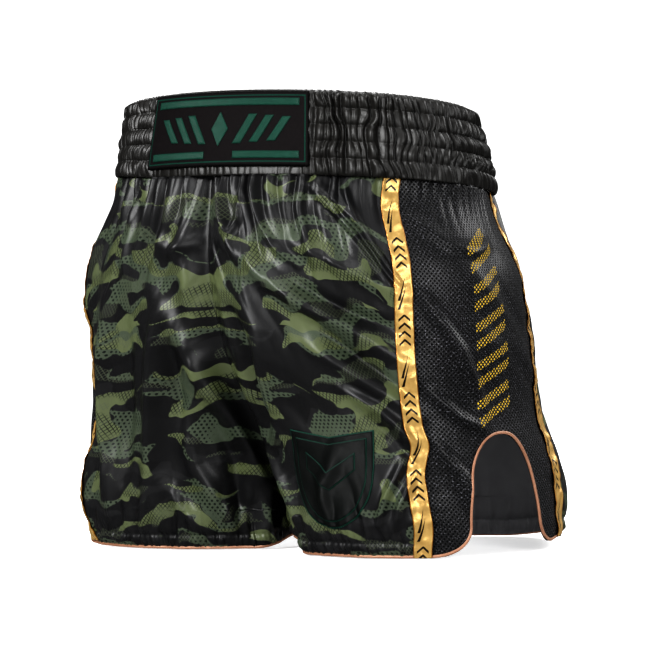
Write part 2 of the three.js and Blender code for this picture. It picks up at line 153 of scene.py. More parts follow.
def hashed(i, j, seed):
    """A number from 0 to 1 for each pair of whole numbers."""
    h = (i.astype(np.int64) * HASH[0] + j.astype(np.int64) * HASH[1] + seed * HASH[2]) & LOW_32
    h = ((h ^ (h >> 13)) * HASH[3]) & LOW_32
    return ((h ^ (h >> 16)) & LOW_16) / LOW_16


def noise(x, y, seed):
    """Smooth noise from -1 to 1, with features one unit across."""
    x, y = np.broadcast_arrays(np.asarray(x, float), np.asarray(y, float))
    i, j = np.floor(x), np.floor(y)
    s, t = x - i, y - j
    s, t = (w * w * w * (w * (w * 6 - 15) + 10) for w in (s, t))
    low = hashed(i, j, seed) * (1 - s) + hashed(i + 1, j, seed) * s
    high = hashed(i, j + 1, seed) * (1 - s) + hashed(i + 1, j + 1, seed) * s
    return 2 * (low * (1 - t) + high * t) - 1


def pleats(x, spacing, seed, roundness=0.75):
    """Rounded ridges with sharp valleys between, from 0 to 1, unevenly wide and high."""
    x = np.asarray(x, float) / spacing
    base = np.floor(x)
    steps = [base + step for step in (-1, 0, 1, 2)]
    edges = [k + PLEAT_JITTER * (hashed(k, k * 0, seed) - 0.5) for k in steps]
    before, after = x < edges[1], x >= edges[2]
    low, high, mark = (
        np.where(before, row[0], np.where(after, row[2], row[1]))
        for row in (edges[:3], edges[1:], steps[:3])
    )
    t = np.clip((x - low) / (high - low), 0, 1)
    height = 0.45 + 0.55 * hashed(mark, mark * 0, seed + 1)
    return height * np.sin(np.pi * t) ** roundness


def length_round(steps, half, front, back):
    """Millimetres round an oval from the first of some even steps in degrees to each."""
    turned = np.radians(steps)
    depth = np.where(np.cos(turned) > 0, front, back)
    speed = np.hypot(half * np.cos(turned), depth * np.sin(turned))
    pieces = (speed[1:] + speed[:-1]) / 2 * np.radians(steps[1] - steps[0])
    return np.concatenate([[0], np.cumsum(pieces)])


# --- The surface of the shorts ------------------------------------------------------------

LEG_STEPS = np.linspace(-90, 270, 181)
LEG_MIDDLE = 160.0  # the height where the cloth is measured round the leg
LEG_LENGTHS = length_round(LEG_STEPS, *(at(LEG_MIDDLE) for at in (half_at, front_at, back_at)))
LEG_LENGTHS -= np.interp(0, LEG_STEPS, LEG_LENGTHS)
BAND_STEPS = np.linspace(0, 360, 721)
BAND_LENGTHS = length_round(BAND_STEPS, *BAND_OVAL)


def seam_turn(z):
    """How far past the side the middle plane cuts a leg's oval: 90 below the crotch."""
    return np.degrees(np.arcsin(np.minimum(1, centre_at(z) / half_at(z))))


def depth_at(angle, z):
    """The depth of the front or the back half of the oval, whichever the angle is on."""
    return np.where(np.cos(np.radians(angle)) > 0, front_at(z), back_at(z))


def tilted(line, angle):
    """The height of the rim or the waist seam at an angle."""
    height, slope = line
    return height - slope * depth_at(angle, height) * np.cos(np.radians(angle))


def waist_seam(side, angle):
    """The waist seam's height. It rides up a little on the wearer's right hip."""
    angle = np.asarray(angle, float)
    lift = RIGHT_HIP_LIFT * smoothstep(angle, 10, 60) * (1 - smoothstep(angle, 120, 175))
    return tilted(WAIST_SEAM, angle) + (lift if side < 0 else 0)


def tape_angle(side, place, z):
    z = np.asarray(z, float)
    low, high = TAPES[place]
    line = low + (high - low) * z / RIM[0]
    for wander_side, wander_place, height, reach, turn in TAPE_WANDER:
        if (wander_side, wander_place) == (side, place):
            line = line + turn * bell(z - height, reach)
    return line


def hem_height(side, angle):
    """The hem: lifted at the inner thigh and behind the slit, and in front of the right one."""
    angle = np.asarray(angle, float)
    inward = np.where(angle < 90, -angle, angle - 180)
    behind = smoothstep(angle, 90, 125) * (1 - smoothstep(angle, 145, 190))
    lift = INSEAM_LIFT * smoothstep(inward, 25 if side > 0 else 58, 90) + CORNER_LIFT * behind
    if side < 0:
        in_front = smoothstep(angle, 30, 60) * (1 - smoothstep(angle, 80, 90))
        lift = lift + RIGHT_CORNER_LIFT * in_front
    return lift


def normal_at(angle, z):
    turned = np.radians(angle)
    n = np.stack([np.sin(turned) / half_at(z), -np.cos(turned) / depth_at(angle, z)], -1)
    return n / np.linalg.norm(n, axis=-1, keepdims=True)


def off_oval(angle, z, out, centre=0.0, held=0.0):
    """x and y of points out millimetres off an oval. Where held is 1, x stays on the oval."""
    turned = np.radians(angle)
    n = normal_at(angle, z)
    x = centre + half_at(z) * np.sin(turned) + out * n[..., 0] * (1 - held)
    return x, SIDE_LINE_Y - depth_at(angle, z) * np.cos(turned) + out * n[..., 1]


def surface(side, angle, z, out, apart=0.35):
    """Points on one half, out millimetres from the surface and on their side of the middle."""
    angle, z, out = np.broadcast_arrays(*(np.asarray(a, float) for a in (angle, z, out)))
    # The centre seam stays on the middle plane, however far it is sunk.
    on_seam = seam_hold(angle, z) * smoothstep(z, CROTCH, CROTCH + 12)
    x, y = off_oval(angle, z, out, centre_at(z), on_seam)
    return np.stack([side * np.maximum(x, apart), y, z], -1)


def ring_surface(angle, z, out):
    """The same above the waist seam, where both halves are one oval."""
    angle, z, out = np.broadcast_arrays(*(np.asarray(a, float) for a in (angle, z, out)))
    return np.stack([*off_oval(angle, z, out), z], -1)


def cloth_across(angle, z):
    """Millimetres of cloth round the leg from the front to an angle."""
    return np.interp(angle, LEG_STEPS, LEG_LENGTHS) * (half_at(z) / half_at(LEG_MIDDLE))


def band_arc(angle):
    """Millimetres round the waistband from the front."""
    return np.interp(angle, BAND_STEPS, BAND_LENGTHS)


def degrees_per_mm(angle, z):
    turned = np.radians(angle)
    run = np.hypot(half_at(z) * np.cos(turned), depth_at(angle, z) * np.sin(turned))
    return np.degrees(1 / run)


# --- Folds --------------------------------------------------------------------------------

# Folds: side, points as (angle, height), half width, height of the ridge (less than 0 for a
# valley).
FOLDS = [
    (-1, [(7, 272), (1, 244), (-6, 212), (-14, 176)], 8, 3.5),
    (-1, [(6, 212), (2, 170), (-3, 127), (-8, 76), (-9, 30)], 9, 7.0),
    (-1, [(1, 200), (-12, 168), (-24, 139), (-37, 118), (-52, 88), (-60, 66)], 9, 8.0),
    (-1, [(-4, 165), (-14, 130), (-21, 98)], 7, -4.5),
    (-1, [(-18, 116), (-29, 70), (-40, 43), (-49, 24)], 8, 5.5),
    (-1, [(-14, 60), (-25, 34), (-33, 14)], 6, 3.5),
    (-1, [(31, 214), (28, 144), (20, 75), (16, 30)], 7, 6.0),
    (-1, [(20, 200), (13, 125), (6, 60)], 9, -4.0),
    (-1, [(-32, 112), (-46, 76), (-51, 42), (-56, 22)], 9, -6.5),
    (-1, [(30, 290), (26, 262), (23, 235)], 5, 3.0),
    (-1, [(12, 262), (6, 250), (-3, 258)], 6, 3.0),
    (1, [(6, 303), (7, 283), (9, 265), (12.5, 278), (13.5, 300)], 2.8, 3.6),
    (1, [(17, 302), (19, 278), (20, 254), (24, 238)], 3.2, 3.6),
    (1, [(7, 263), (11.5, 238), (21, 209), (32, 188), (46, 160)], 10, 7.0),
    (1, [(26, 256), (37, 236), (51, 214)], 8, 4.5),
    (1, [(21, 222), (32, 201), (48, 184)], 7, -4.5),
    (1, [(23, 188), (30, 167), (44, 138)], 7, -5.0),
    (1, [(18, 172), (28, 150), (43, 122)], 8, 4.0),
    (1, [(22, 136), (33, 120), (42, 94)], 6, 4.0),
    (1, [(24, 118), (34, 100), (42, 78)], 6, -3.0),
    (1, [(36, 304), (43.5, 284), (47.5, 266), (49.5, 244), (53, 222)], 2.6, 3.6),
    (1, [(33.5, 304), (41, 281), (44.5, 262), (47, 240), (50, 220)], 2.4, 3.0),
    (1, [(44.5, 304), (46, 284), (47.5, 268)], 2.4, 3.4),
    (1, [(37, 80), (27, 54), (19, 28)], 3.5, 3.8),
    (1, [(41, 70), (32, 46), (25, 22)], 3.5, 3.2),
    (1, [(3, 215), (3, 186), (-1, 162), (-17, 128)], 11, 6.5),
    (1, [(-5, 200), (-11, 160), (-25, 122), (-42, 96)], 8, -8.5),
    (1, [(-46, 96), (-31, 62), (-26, 28)], 6, 3.5),
    (1, [(10, 90), (-2, 60), (-8, 30)], 7, 3.0),
    (-1, [(52, 190), (52, 255), (54, 320)], 20, 4.8),
    (1, [(-52, -50), (-52, 66)], 24, -10.5),
    (-1, [(-66, -40), (-66, 60)], 16, 4.5),
    (1, [(66, 272), (75, 252), (84, 246), (96, 252)], 6, 3.0),
    (1, [(60, 210), (70, 168), (80, 120), (78, 105)], 7, 3.0),
    (1, [(57, 130), (66, 112), (76, 104)], 6, 3.4),
    (1, [(52, 92), (62, 66), (66, 40)], 6, 2.6),
    (-1, [(40, 150), (43, 116), (40, 86)], 9, -3.0),
    (-1, [(36, 80), (39, 48), (37, 20)], 15, 5.0),
]
FOLD_STRENGTH = 1.8
# Gathers: height, spacing, how far they run, how sharply they end, roundness, seed.
WAIST_GATHERS = {
    "fine": (1.5, 5.6, 13, 1, 0.75, 21),
    "middle": (8.0, 12.5, 50, 1.7, 1.0, 31),
    "wide": (6.5, 25, 90, 2, 1.3, 41),
}
HEM_GATHERS = {
    "ruffle": (3.8, 7.2, 21, 2, 0.75, 71),
    "wide": (5.5, 18, 48, 2, 1.2, 81),
    "tight": (2.0, 4.2, 13, 4, 0.75, 75),
}
MESH_GATHERS = (2.0, 11, 30, 2, 0.75, 111)
HEM_STITCHES = (12.5, 2.0, 1.6)  # the hem seam: its height above the edge, half width, depth
SEAM_REACH = 8  # how far from the centre seam the cloth is held
SEAM_SUNK = (9.0, 11)  # how deep the centre seam lies, and how far beside it that reaches


def placed_folds(side, angle, z):
    """The sum of the long folds, each a smooth ridge along its line."""
    across = cloth_across(angle, z)
    total = np.zeros_like(across)
    for fold_side, line, width, height in FOLDS:
        if fold_side != side:
            continue
        points = np.array([(cloth_across(a, h), h) for a, h in line], float)
        best = np.full(across.shape, np.inf)
        along = np.zeros(across.shape)
        length = np.linalg.norm(np.diff(points, axis=0), axis=1)
        done = np.concatenate([[0], np.cumsum(length)])
        for k, (p, q) in enumerate(zip(points[:-1], points[1:])):
            d = q - p
            t = np.clip(((across - p[0]) * d[0] + (z - p[1]) * d[1]) / (d @ d), 0, 1)
            away = np.hypot(across - p[0] - t * d[0], z - p[1] - t * d[1])
            nearer = away < best
            best = np.where(nearer, away, best)
            along = np.where(nearer, (done[k] + t * length[k]) / done[-1], along)
        swell = np.sin(np.pi * (0.12 + 0.76 * along))
        total += FOLD_STRENGTH * height * swell * bell(best, width)
    return total


def gathered(kind, side, across, distance, stretch=1):
    """Pleats of one kind, highest where they are sewn and fading out over their run."""
    height, spacing, run, fade, roundness, seed = kind
    ridges = height * pleats(across, spacing, seed + side, roundness)
    return ridges * bell(distance, run * stretch, fade)


def gathers_below_waist(side, angle, z):
    """Pleats that start at the waist seam and run out downwards."""
    below = np.maximum(waist_seam(side, angle) - z, 0)
    across = cloth_across(angle, WAIST_SEAM[0]) * (1 + 0.0008 * below)
    across = across + 3.0 * noise(across / 22, below / 34, 11 + side)
    strength = 0.35 + 0.8 * np.where(np.abs(angle) < 90, bell(angle - 12, 32, 4), 0.8)
    long = 0.6 + 0.8 * np.abs(noise(across / 17, 0, 51 + side))
    fine = gathered(WAIST_GATHERS["fine"], side, across, below)
    middle = gathered(WAIST_GATHERS["middle"], side, across, below, long)
    wide = gathered(WAIST_GATHERS["wide"], side, across, below) * smoothstep(below, 4, 34)
    return strength * (fine + middle + wide) - 2.5 * bell(below, 6, 1)


def hem_shirring(side, angle, z):
    """The short gathers on the hem elastic, with the cloth puffed out above them."""
    above = np.maximum(z - hem_height(side, angle), 0)
    across = cloth_across(angle, z)
    across = across + 1.8 * noise(across / 14, above / 14, 61 + side)
    ruffle, wide, tight = (gathered(kind, side, across, above) for kind in HEM_GATHERS.values())
    wide = wide * smoothstep(above, 4, 20)
    puff = 1.2 * smoothstep(above, 12, 30) * (1 - smoothstep(above, 32, 85))
    stitches, reach, deep = HEM_STITCHES
    drawn_in = deep * bell(above - stitches, reach) + 0.4 * bell(above, 12)
    bound = 0.25 + 0.75 * smoothstep(above, 1.5, 6)
    return bound * (ruffle + tight) + wide + puff - drawn_in


def crumple(side, angle, z):
    """The small soft dents of light cloth."""
    across = cloth_across(angle, z)
    coarse = 2.2 * noise(across / 46 + 3.1, z / 60 + side, 91)
    slanted = 1.3 * noise((across + 0.6 * z) / 22, (z - 0.5 * across) / 60, 92 + side)
    fine = 0.5 * noise((across - 0.4 * z) / 9, z / 24, 93 + side)
    return coarse + slanted + fine


def beside_tape(side, angle, z):
    """Puckers that a tape's stitching draws into the cloth beside it, and the tape's wave."""
    pulled = 0.0
    for which, place in enumerate(TAPES):
        away = np.abs(angle - tape_angle(side, place, z)) / degrees_per_mm(angle, z)
        wave = noise(z / 13, which, 101 + side) + 0.5 * noise(z / 6, which, 102 + side)
        sway = 2.2 * noise(z / 36, which, 103 + side)
        pulled = pulled + (1.3 * wave - 1.2) * bell(away, 12)
        pulled = pulled + sway * bell(away, 26) * smoothstep(z, 0, 30)
    return pulled


def from_centre_seam(angle, z):
    """Millimetres of cloth from an angle to the seam between the two legs."""
    turn = seam_turn(z)
    beside = np.minimum(np.abs(angle + turn), np.abs(angle - 180 - turn))
    return beside / degrees_per_mm(np.clip(angle, -turn, 180 + turn), z)


def seam_hold(angle, z):
    """1 on the centre seam and the inseam, fading to 0 in the free cloth beside them."""
    return bell(from_centre_seam(angle, z), SEAM_REACH)


def satin_relief(side, angle, z):
    """How far the satin panels stand off the leg surface."""
    near_tape = sum(bell(angle - tape_angle(side, place, z), 4) for place in TAPES)
    free = 1 - 0.96 * np.clip(near_tape, 0, 1)
    folds = crumple(side, angle, z) + gathers_below_waist(side, angle, z)
    shaped = free * (folds + hem_shirring(side, angle, z)) + placed_folds(side, angle, z)
    shaped = shaped + beside_tape(side, angle, z)
    # Both legs' panels meet in one sunk line where the centre seam holds them.
    deep, reach = SEAM_SUNK
    sunk = deep * bell(from_centre_seam(angle, z), reach) * smoothstep(z, 40, 130)
    return shaped * (1 - seam_hold(angle, z)) - sunk


def mesh_relief(side, angle, z):
    """The side panels hang smoother, with gathers only near the waistband."""
    below = np.maximum(waist_seam(side, angle) - z, 0)
    across = cloth_across(angle, z)
    front, back = (tape_angle(side, place, z) for place in TAPES)
    strength = np.sin(np.pi * np.clip((angle - front) / (back - front), 0, 1)) ** 0.5
    gathers = gathered(MESH_GATHERS, side, across, below)
    soft = 3.2 * noise(across / 55, z / 60, 112 + side)
    soft = soft + 1.5 * noise((across + 0.5 * z) / 24, z / 44, 113)
    shaped = strength * (gathers + soft) + placed_folds(side, angle, z)
    return shaped + beside_tape(side, angle, z)


# --- Meshes -------------------------------------------------------------------------------


def put_in_scene(name, data, materials=()):
    """An object in the scene that shows a mesh, a lamp or a camera."""
    for material in materials:
        data.materials.append(material)
    made = bpy.data.objects.new(name, data)
    bpy.context.scene.collection.objects.link(made)
    return made


def give_map(mesh, name, uv):
    mesh.uv_layers.new(name=name).uv.foreach_set("vector", uv.astype(np.float32).ravel())


def corner_ids(rows, cols):
    """Quads between neighbouring points of a grid, as (row, column) of their corners."""
    j, i = np.meshgrid(np.arange(rows), np.arange(cols), indexing="ij")
    j, i = j.ravel(), i.ravel()
    return np.stack([j, j + 1, j + 1, j], 1), np.stack([i, i, i + 1, i + 1], 1)


def grid_shell(name, outer, inner, cloth_uv, materials, mirrored=False, ring=False, keep=None):
    """A closed sheet from two grids of points, its outer and its inner face.

    A ring's last column repeats its first. keep says which quads are there.
    """
    rows, cols = outer.shape[0] - 1, outer.shape[1] - 1
    wrap = cols if ring else cols + 1
    count = (rows + 1) * wrap

    def index(layer, j, i):
        return layer * count + j * wrap + (i % wrap)

    points = np.concatenate([face[:, :wrap].reshape(-1, 3) for face in (outer, inner)])
    jj, ii = corner_ids(rows, cols)
    kept = np.ones(len(jj), bool) if keep is None else keep.ravel()
    faces, places, slots, islands = [], [], [], []

    def take(layers, j, i, slot, island):
        faces.append(np.stack([index(la, j[:, k], i[:, k]) for k, la in enumerate(layers)], 1))
        places.append(np.stack([j, i], -1))
        slots.append(np.full(len(j), slot))
        islands.append(np.full(len(j), island))

    take((1, 1, 1, 1), jj[kept][:, ::-1], ii[kept][:, ::-1], len(materials) - 1, 1)
    take((0, 0, 0, 0), jj[kept], ii[kept], 0, 0)
    kept_grid = np.zeros((rows + 2, cols + 2), bool)
    kept_grid[1:-1, 1:-1] = kept.reshape(rows, cols)
    if ring:
        kept_grid[:, 0], kept_grid[:, -1] = kept_grid[:, -2], kept_grid[:, 1]
    inside = kept_grid[1:-1, 1:-1]
    walls = [
        (inside & ~kept_grid[:-2, 1:-1], (0, 0), (0, 1)),
        (inside & ~kept_grid[2:, 1:-1], (1, 1), (1, 0)),
        (inside & ~kept_grid[1:-1, :-2], (1, 0), (0, 0)),
        (inside & ~kept_grid[1:-1, 2:], (0, 1), (1, 1)),
    ]
    for edge, (j0, i0), (j1, i1) in walls:
        j, i = np.nonzero(edge)
        if len(j):
            rows4 = np.stack([j + j0, j + j0, j + j1, j + j1], 1)
            cols4 = np.stack([i + i0, i + i0, i + i1, i + i1], 1)
            take((0, 1, 1, 0), rows4[:, ::-1], cols4[:, ::-1], 0, 0)
    faces, places, slots, islands = map(np.concatenate, (faces, places, slots, islands))
    if mirrored:
        faces, places = faces[:, ::-1], places[:, ::-1]
    used, flat = np.unique(faces, return_inverse=True)
    flat = flat.reshape(faces.shape)
    mesh = bpy.data.meshes.new(name)
    mesh.vertices.add(len(used))
    mesh.vertices.foreach_set("co", (points[used] / 1000).ravel())
    mesh.loops.add(flat.size)
    mesh.loops.foreach_set("vertex_index", flat.ravel().astype(np.int32))
    mesh.polygons.add(len(flat))
    mesh.polygons.foreach_set("loop_start", np.arange(0, flat.size, 4, dtype=np.int32))
    mesh.polygons.foreach_set("material_index", slots.astype(np.int32))
    mesh.update(calc_edges=True)
    mesh.polygons.foreach_set("use_smooth", np.ones(len(flat), bool))
    j, i = places[..., 0].ravel(), places[..., 1].ravel()
    give_map(mesh, "cloth", cloth_uv[j, i])
    # The outer face's island is 0.7 of the bake map's width, the inner one's 0.24.
    across, up = i / cols, 1 - j / rows
    across = np.where(np.repeat(islands, 4) == 0, 0.01 + 0.7 * across, 0.75 + 0.24 * across)
    give_map(mesh, "OFBake", np.stack([across, 0.01 + 0.98 * up], 1))
    mesh.validate()
    return put_in_scene(name, mesh, materials)


def finish_piece(piece, nodes):
    """Puts a piece under the root body, hides the CAD nodes it stands for and reads its faces'
    areas.
    """
    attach(piece, "root")
    if nodes:
        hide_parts(*nodes)
    faces = np.zeros(len(piece.data.polygons))
    piece.data.polygons.foreach_get("area", faces)


def lengths_between(points):
    """Running length round a closed line, from its first point back to it."""
    steps = np.linalg.norm(np.roll(points, -1, 0) - points, axis=1)
    return np.concatenate([[0], np.cumsum(steps)])


def folded_strip(name, path, normals, materials):
    """A strip folded in a U over the edge of the cloth, carried round a closed path.

    The U's closed end is on the right of someone who walks the path on the cloth's outside.
    """
    count = len(path)
    tangent = np.roll(path, -1, 0) - np.roll(path, 1, 0)
    tangent /= np.linalg.norm(tangent, axis=1, keepdims=True)
    normals = normals - tangent * (normals * tangent).sum(1, keepdims=True)
    normals /= np.linalg.norm(normals, axis=1, keepdims=True)
    across = np.cross(tangent, normals)
    turn = np.linspace(np.pi / 2, 3 * np.pi / 2, 9)

    def profile_at(inset):
        half = BINDING["thickness"] / 2 - inset
        bend = np.stack([half * np.cos(turn), half * np.sin(turn)], 1)
        reach = BINDING["width"] - BINDING["thickness"] / 2
        return np.concatenate([[[reach, half]], bend, [[reach, -half]]])

    section = np.concatenate([profile_at(0), profile_at(BINDING["cloth"])[::-1]])
    sides = len(section)
    ring = path[:, None] + across[:, None] * section[None, :, :1]
    ring = ring + normals[:, None] * section[None, :, 1:]
    k, s = np.meshgrid(np.arange(count), np.arange(sides), indexing="ij")
    k, s = k.ravel(), s.ravel()
    after, beside = (k + 1) % count, (s + 1) % sides
    corners = ((k, s), (k, beside), (after, beside), (after, s))
    faces = np.stack([a * sides + b for a, b in corners], 1)
    along, round_it = lengths_between(path), lengths_between(section)
    mesh = bpy.data.meshes.new(name)
    mesh.from_pydata((ring.reshape(-1, 3) / 1000).tolist(), [], faces.tolist())
    mesh.polygons.foreach_set("use_smooth", np.ones(len(faces), bool))
    u = np.stack([along[k], along[k], along[k + 1], along[k + 1]], 1)
    v = np.stack([round_it[s], round_it[s + 1], round_it[s + 1], round_it[s]], 1)
    give_map(mesh, "cloth", np.stack([u, v], -1))
    mesh.update()
    return put_in_scene(name, mesh, materials), along[-1]


# --- Materials ----------------------------------------------------------------------------


def arithmetic(operation, swapped=False):
    """A method that adds one maths node to the tree of the value it is called on."""

    def method(self, other=0.0):
        pair = (other, self) if swapped else (self, other)
        return self.nodes.maths(operation, *pair)

    return method


class Value:
    """A number in a shader: sums on it add the nodes that work them out."""

    def __init__(self, nodes, socket):
        self.nodes, self.socket = nodes, socket

    __add__ = __radd__ = arithmetic("ADD")
    __sub__ = arithmetic("SUBTRACT")
    __rsub__ = arithmetic("SUBTRACT", swapped=True)
    __mul__ = __rmul__ = arithmetic("MULTIPLY")
    __truediv__ = arithmetic("DIVIDE")
    __lt__ = arithmetic("LESS_THAN")
    __gt__ = arithmetic("GREATER_THAN")
    __abs__ = arithmetic("ABSOLUTE")
    floor = arithmetic("FLOOR")
    fract = arithmetic("FRACT")
    root = arithmetic("SQRT")
    least = arithmetic("MINIMUM")
    most = arithmetic("MAXIMUM")
    zigzag = arithmetic("PINGPONG")


class Nodes:
    """Makes shader nodes with short calls; numbers, values and colours can all be inputs."""

    def __init__(self, name):
        self.material = bpy.data.materials.new(name)
        self.material.use_nodes = True
        self.tree = self.material.node_tree
        self.bsdf = self.tree.nodes["Principled BSDF"]

    def put(self, kind, inputs=(), **settings):
        node = self.tree.nodes.new(kind)
        for key, value in settings.items():
            setattr(node, key, value)
        for key, value in dict(inputs).items():
            self.join(value, node.inputs[key])
        return node

    def join(self, value, socket):
        if isinstance(value, Value):
            self.tree.links.new(value.socket, socket)
        else:
            socket.default_value = srgb(value) if isinstance(value, str) else value

    def made(self, *what, output=0, **settings):
        return Value(self, self.put(*what, **settings).outputs[output])

    def maths(self, operation, a, b):
        return self.made("ShaderNodeMath", {0: a, 1: b}, operation=operation)

    def cloth(self):
        """The cloth's own coordinates in millimetres."""
        uv = self.made("ShaderNodeUVMap", uv_map="cloth")
        self.x, self.y = (
            self.made("ShaderNodeSeparateXYZ", {0: uv}, output=which) for which in (0, 1)
        )
        return self.x, self.y

    def noise(self, wide, tall, seed, detail=2.0, roughness=0.5, at=None):
        """Noise on the cloth, with features so wide and so tall, in millimetres."""
        x, y = at or (self.x, self.y)
        place = self.made("ShaderNodeCombineXYZ", {0: x / wide, 1: y / tall, 2: seed})
        inputs = {"Vector": place, "Scale": 1.0, "Detail": detail, "Roughness": roughness}
        return self.made("ShaderNodeTexNoise", inputs)

    def step(self, value, low, high):
        """0 below low, 1 above high, smooth between."""
        inputs = {"Value": value, "From Min": low, "From Max": high}
        return self.made("ShaderNodeMapRange", inputs, interpolation_type="SMOOTHSTEP")

    def mix(self, factor, a, b):
        return self.made("ShaderNodeMix", {0: factor, 6: a, 7: b}, output=2, data_type="RGBA")

    def bump(self, height, distance):
        return self.made("ShaderNodeBump", {"Height": height, "Distance": distance})

    def crossing(self, pitch, slope):
        """How far a place is from two crossing families of diagonal lines, in pitches."""
        one, other = ((self.x + self.y * (sign * slope)) / pitch for sign in (1, -1))
        return one.zigzag(0.5).least(other.zigzag(0.5))

    def surface(self, colour, roughness, normal=None, sheen=0.0, metallic=0.0, specular=0.5):
        self.join(colour, self.bsdf.inputs["Base Color"])
        self.join(roughness, self.bsdf.inputs["Roughness"])
        if normal is not None:
            self.join(normal, self.bsdf.inputs["Normal"])
        self.bsdf.inputs["Sheen Weight"].default_value = sheen
        self.bsdf.inputs["Sheen Roughness"].default_value = 0.45
        self.bsdf.inputs["Metallic"].default_value = metallic
        self.bsdf.inputs["Specular IOR Level"].default_value = specular
        return self.material


def srgb(code):
    """A colour for a node from six hexadecimal digits."""
    parts = [int(code[k : k + 2], 16) / 255 for k in (0, 2, 4)]
    linear = (c / 12.92 if c < 0.04045 else ((c + 0.055) / 1.055) ** 2.4 for c in parts)
    return (*linear, 1.0)


def brighter(code, times):
    return (*(min(1, c * times) for c in srgb(code)[:3]), 1.0)


def hatch(n, pitch):
    """Two crossing families of thin diagonal lines: 1 on a line."""
    return 1.0 - n.step(n.crossing(pitch, 0.75), 0.05, 0.16)


def dots(n, pitch_x, pitch_y, radius):
    """Staggered round dots: 1 in a dot."""
    shift = (n.y / pitch_y).floor().zigzag(1.0) * 0.5
    u = ((n.x / pitch_x + shift).fract() - 0.5) * pitch_x
    v = ((n.y / pitch_y).fract() - 0.5) * pitch_y
    return (u * u + v * v).root() < radius


def satin_grain(n, distance):
    """The fine weave of satin: floats a third of a millimetre wide, and a soft unevenness."""
    weave = ((n.x + n.y * 0.35) / 0.34).zigzag(0.5)
    return n.bump(weave * 0.4 + n.noise(1.1, 1.1, 3.0, 2.0, 0.6), distance)


# The camouflage's kinds of patch: seed, width, height, and the noise level where they start.
CAMO = {
    "shade": (11.3, 44, 17, 0.55),
    "grey_green": (23.9, 46, 18, 0.535),
    "olive": (5.2, 40, 15, 0.57),
    "net": (57.1, 38, 14, 0.6),
    "cover": (71.7, 46, 17, 0.56),
}
CAMO_EDGE = 0.008


def camo_satin():
    """Camouflage printed in long flat patches: olive, dotted grey-green, and near-black."""
    n = Nodes("camo_satin")
    x, y = n.cloth()
    bent_x = x + (n.noise(30, 24, 1.5, 0.0) - 0.5) * 44
    bent_y = y + (n.noise(27, 30, 7.5, 0.0) - 0.5) * 36
    bent_y = bent_y + (n.noise(11, 8, 3.5, 0.0) - 0.5) * 7

    def patches(kind):
        seed, wide, tall, level = CAMO[kind]
        field = n.noise(wide, tall, seed, 0.0, at=(bent_x, bent_y))
        return n.step(field, level, level + CAMO_EDGE)

    colour = n.mix(patches("shade"), "131314", "1b1b1c")
    dot = dots(n, 4.1, 2.9, n.step(n.noise(30, 22, 31.0, 0.0), 0.2, 0.45) * 0.95)
    colour = n.mix(patches("grey_green"), colour, n.mix(dot, "3a4235", "121812"))
    crossed = hatch(n, 3.1) * n.step(n.noise(30, 18, 41.0, 0.0), 0.4, 0.52)
    colour = n.mix(patches("olive"), colour, n.mix(crossed, "4b5238", "14170f"))
    colour = n.mix(patches("net") * hatch(n, 2.6) * 0.7, colour, "444a3a")
    colour = n.mix(patches("cover"), colour, "151516")
    return n.surface(colour, 0.42, satin_grain(n, 0.00006), specular=0.36)


def plain_satin(name, code, roughness, sheen=0.1):
    n = Nodes(name)
    n.cloth()
    colour = n.mix(n.noise(14, 10, 2.0, 3.0), code, brighter(code, 1.5))
    return n.surface(colour, roughness, satin_grain(n, 0.00007), sheen=sheen, specular=0.42)


def woven(name, lay, pitch, depth, cloud, dark, light, roughness, *looks):
    """Plain cloth or thread: fine ribs that cross one direction, and a cloudy colour."""
    n = Nodes(name)
    x, y = n.cloth()
    ribs = ((x * lay[0] + y * lay[1]) / pitch).zigzag(0.5)
    colour = n.mix(n.noise(*cloud), dark, light)
    return n.surface(colour, roughness, n.bump(ribs, depth), *looks)


def embroidery(name, code, lay):
    light = brighter(code, 1.7)
    return woven(name, lay, 0.8, 0.0003, (5, 5, 2.0, 3.0), code, light, 0.5, 0.0, 0.0, 0.22)


def open_mesh():
    n = Nodes("open_mesh")
    x, y = n.cloth()
    hole = n.step(n.crossing(3.9, 1), 0.18, 0.27)
    # Slanted bars, one above another, printed on the cloth behind and seen in the holes.
    tall = (y - PRINT["bottom"]) / PRINT["pitch"] - x * (PRINT["lean"] / PRINT["pitch"])
    slanted, reach = tall.fract(), PRINT["count"] / 2
    band = (slanted > 0.16) * (slanted < 0.84)
    printed = (abs(x) < PRINT["half"]) * band * (abs(tall - reach) < reach)
    printed = printed * (1.0 - (abs(slanted - 0.5) < 0.1))
    # Where no bar is printed, the holes show the underlay's own black darkened further with painted
    # shade.
    behind = n.mix(printed, "020203", "b8992a")
    # The thread's own colour is the dark 161617; its light 55555a specks are painted glints.
    thread = n.mix(n.step(n.noise(1.3, 1.3, 9.0, 1.0), 0.6, 0.7), "161617", "55555a")
    colour = n.mix(hole, thread, behind)
    return n.surface(colour, hole * 0.5 + 0.42, n.bump(1.0 - hole, 0.0006), specular=0.3)


TAPE_REPEAT = 62.0
TAPE_ARROWS = {"from": 2.0, "to": 27.0, "pitch": 6.6, "half": 4.6}
TAPE_STROKES = ((31.0, 0.32), (38.0, 0.30))  # where each starts, and its slope
STROKE_LENGTH = 20


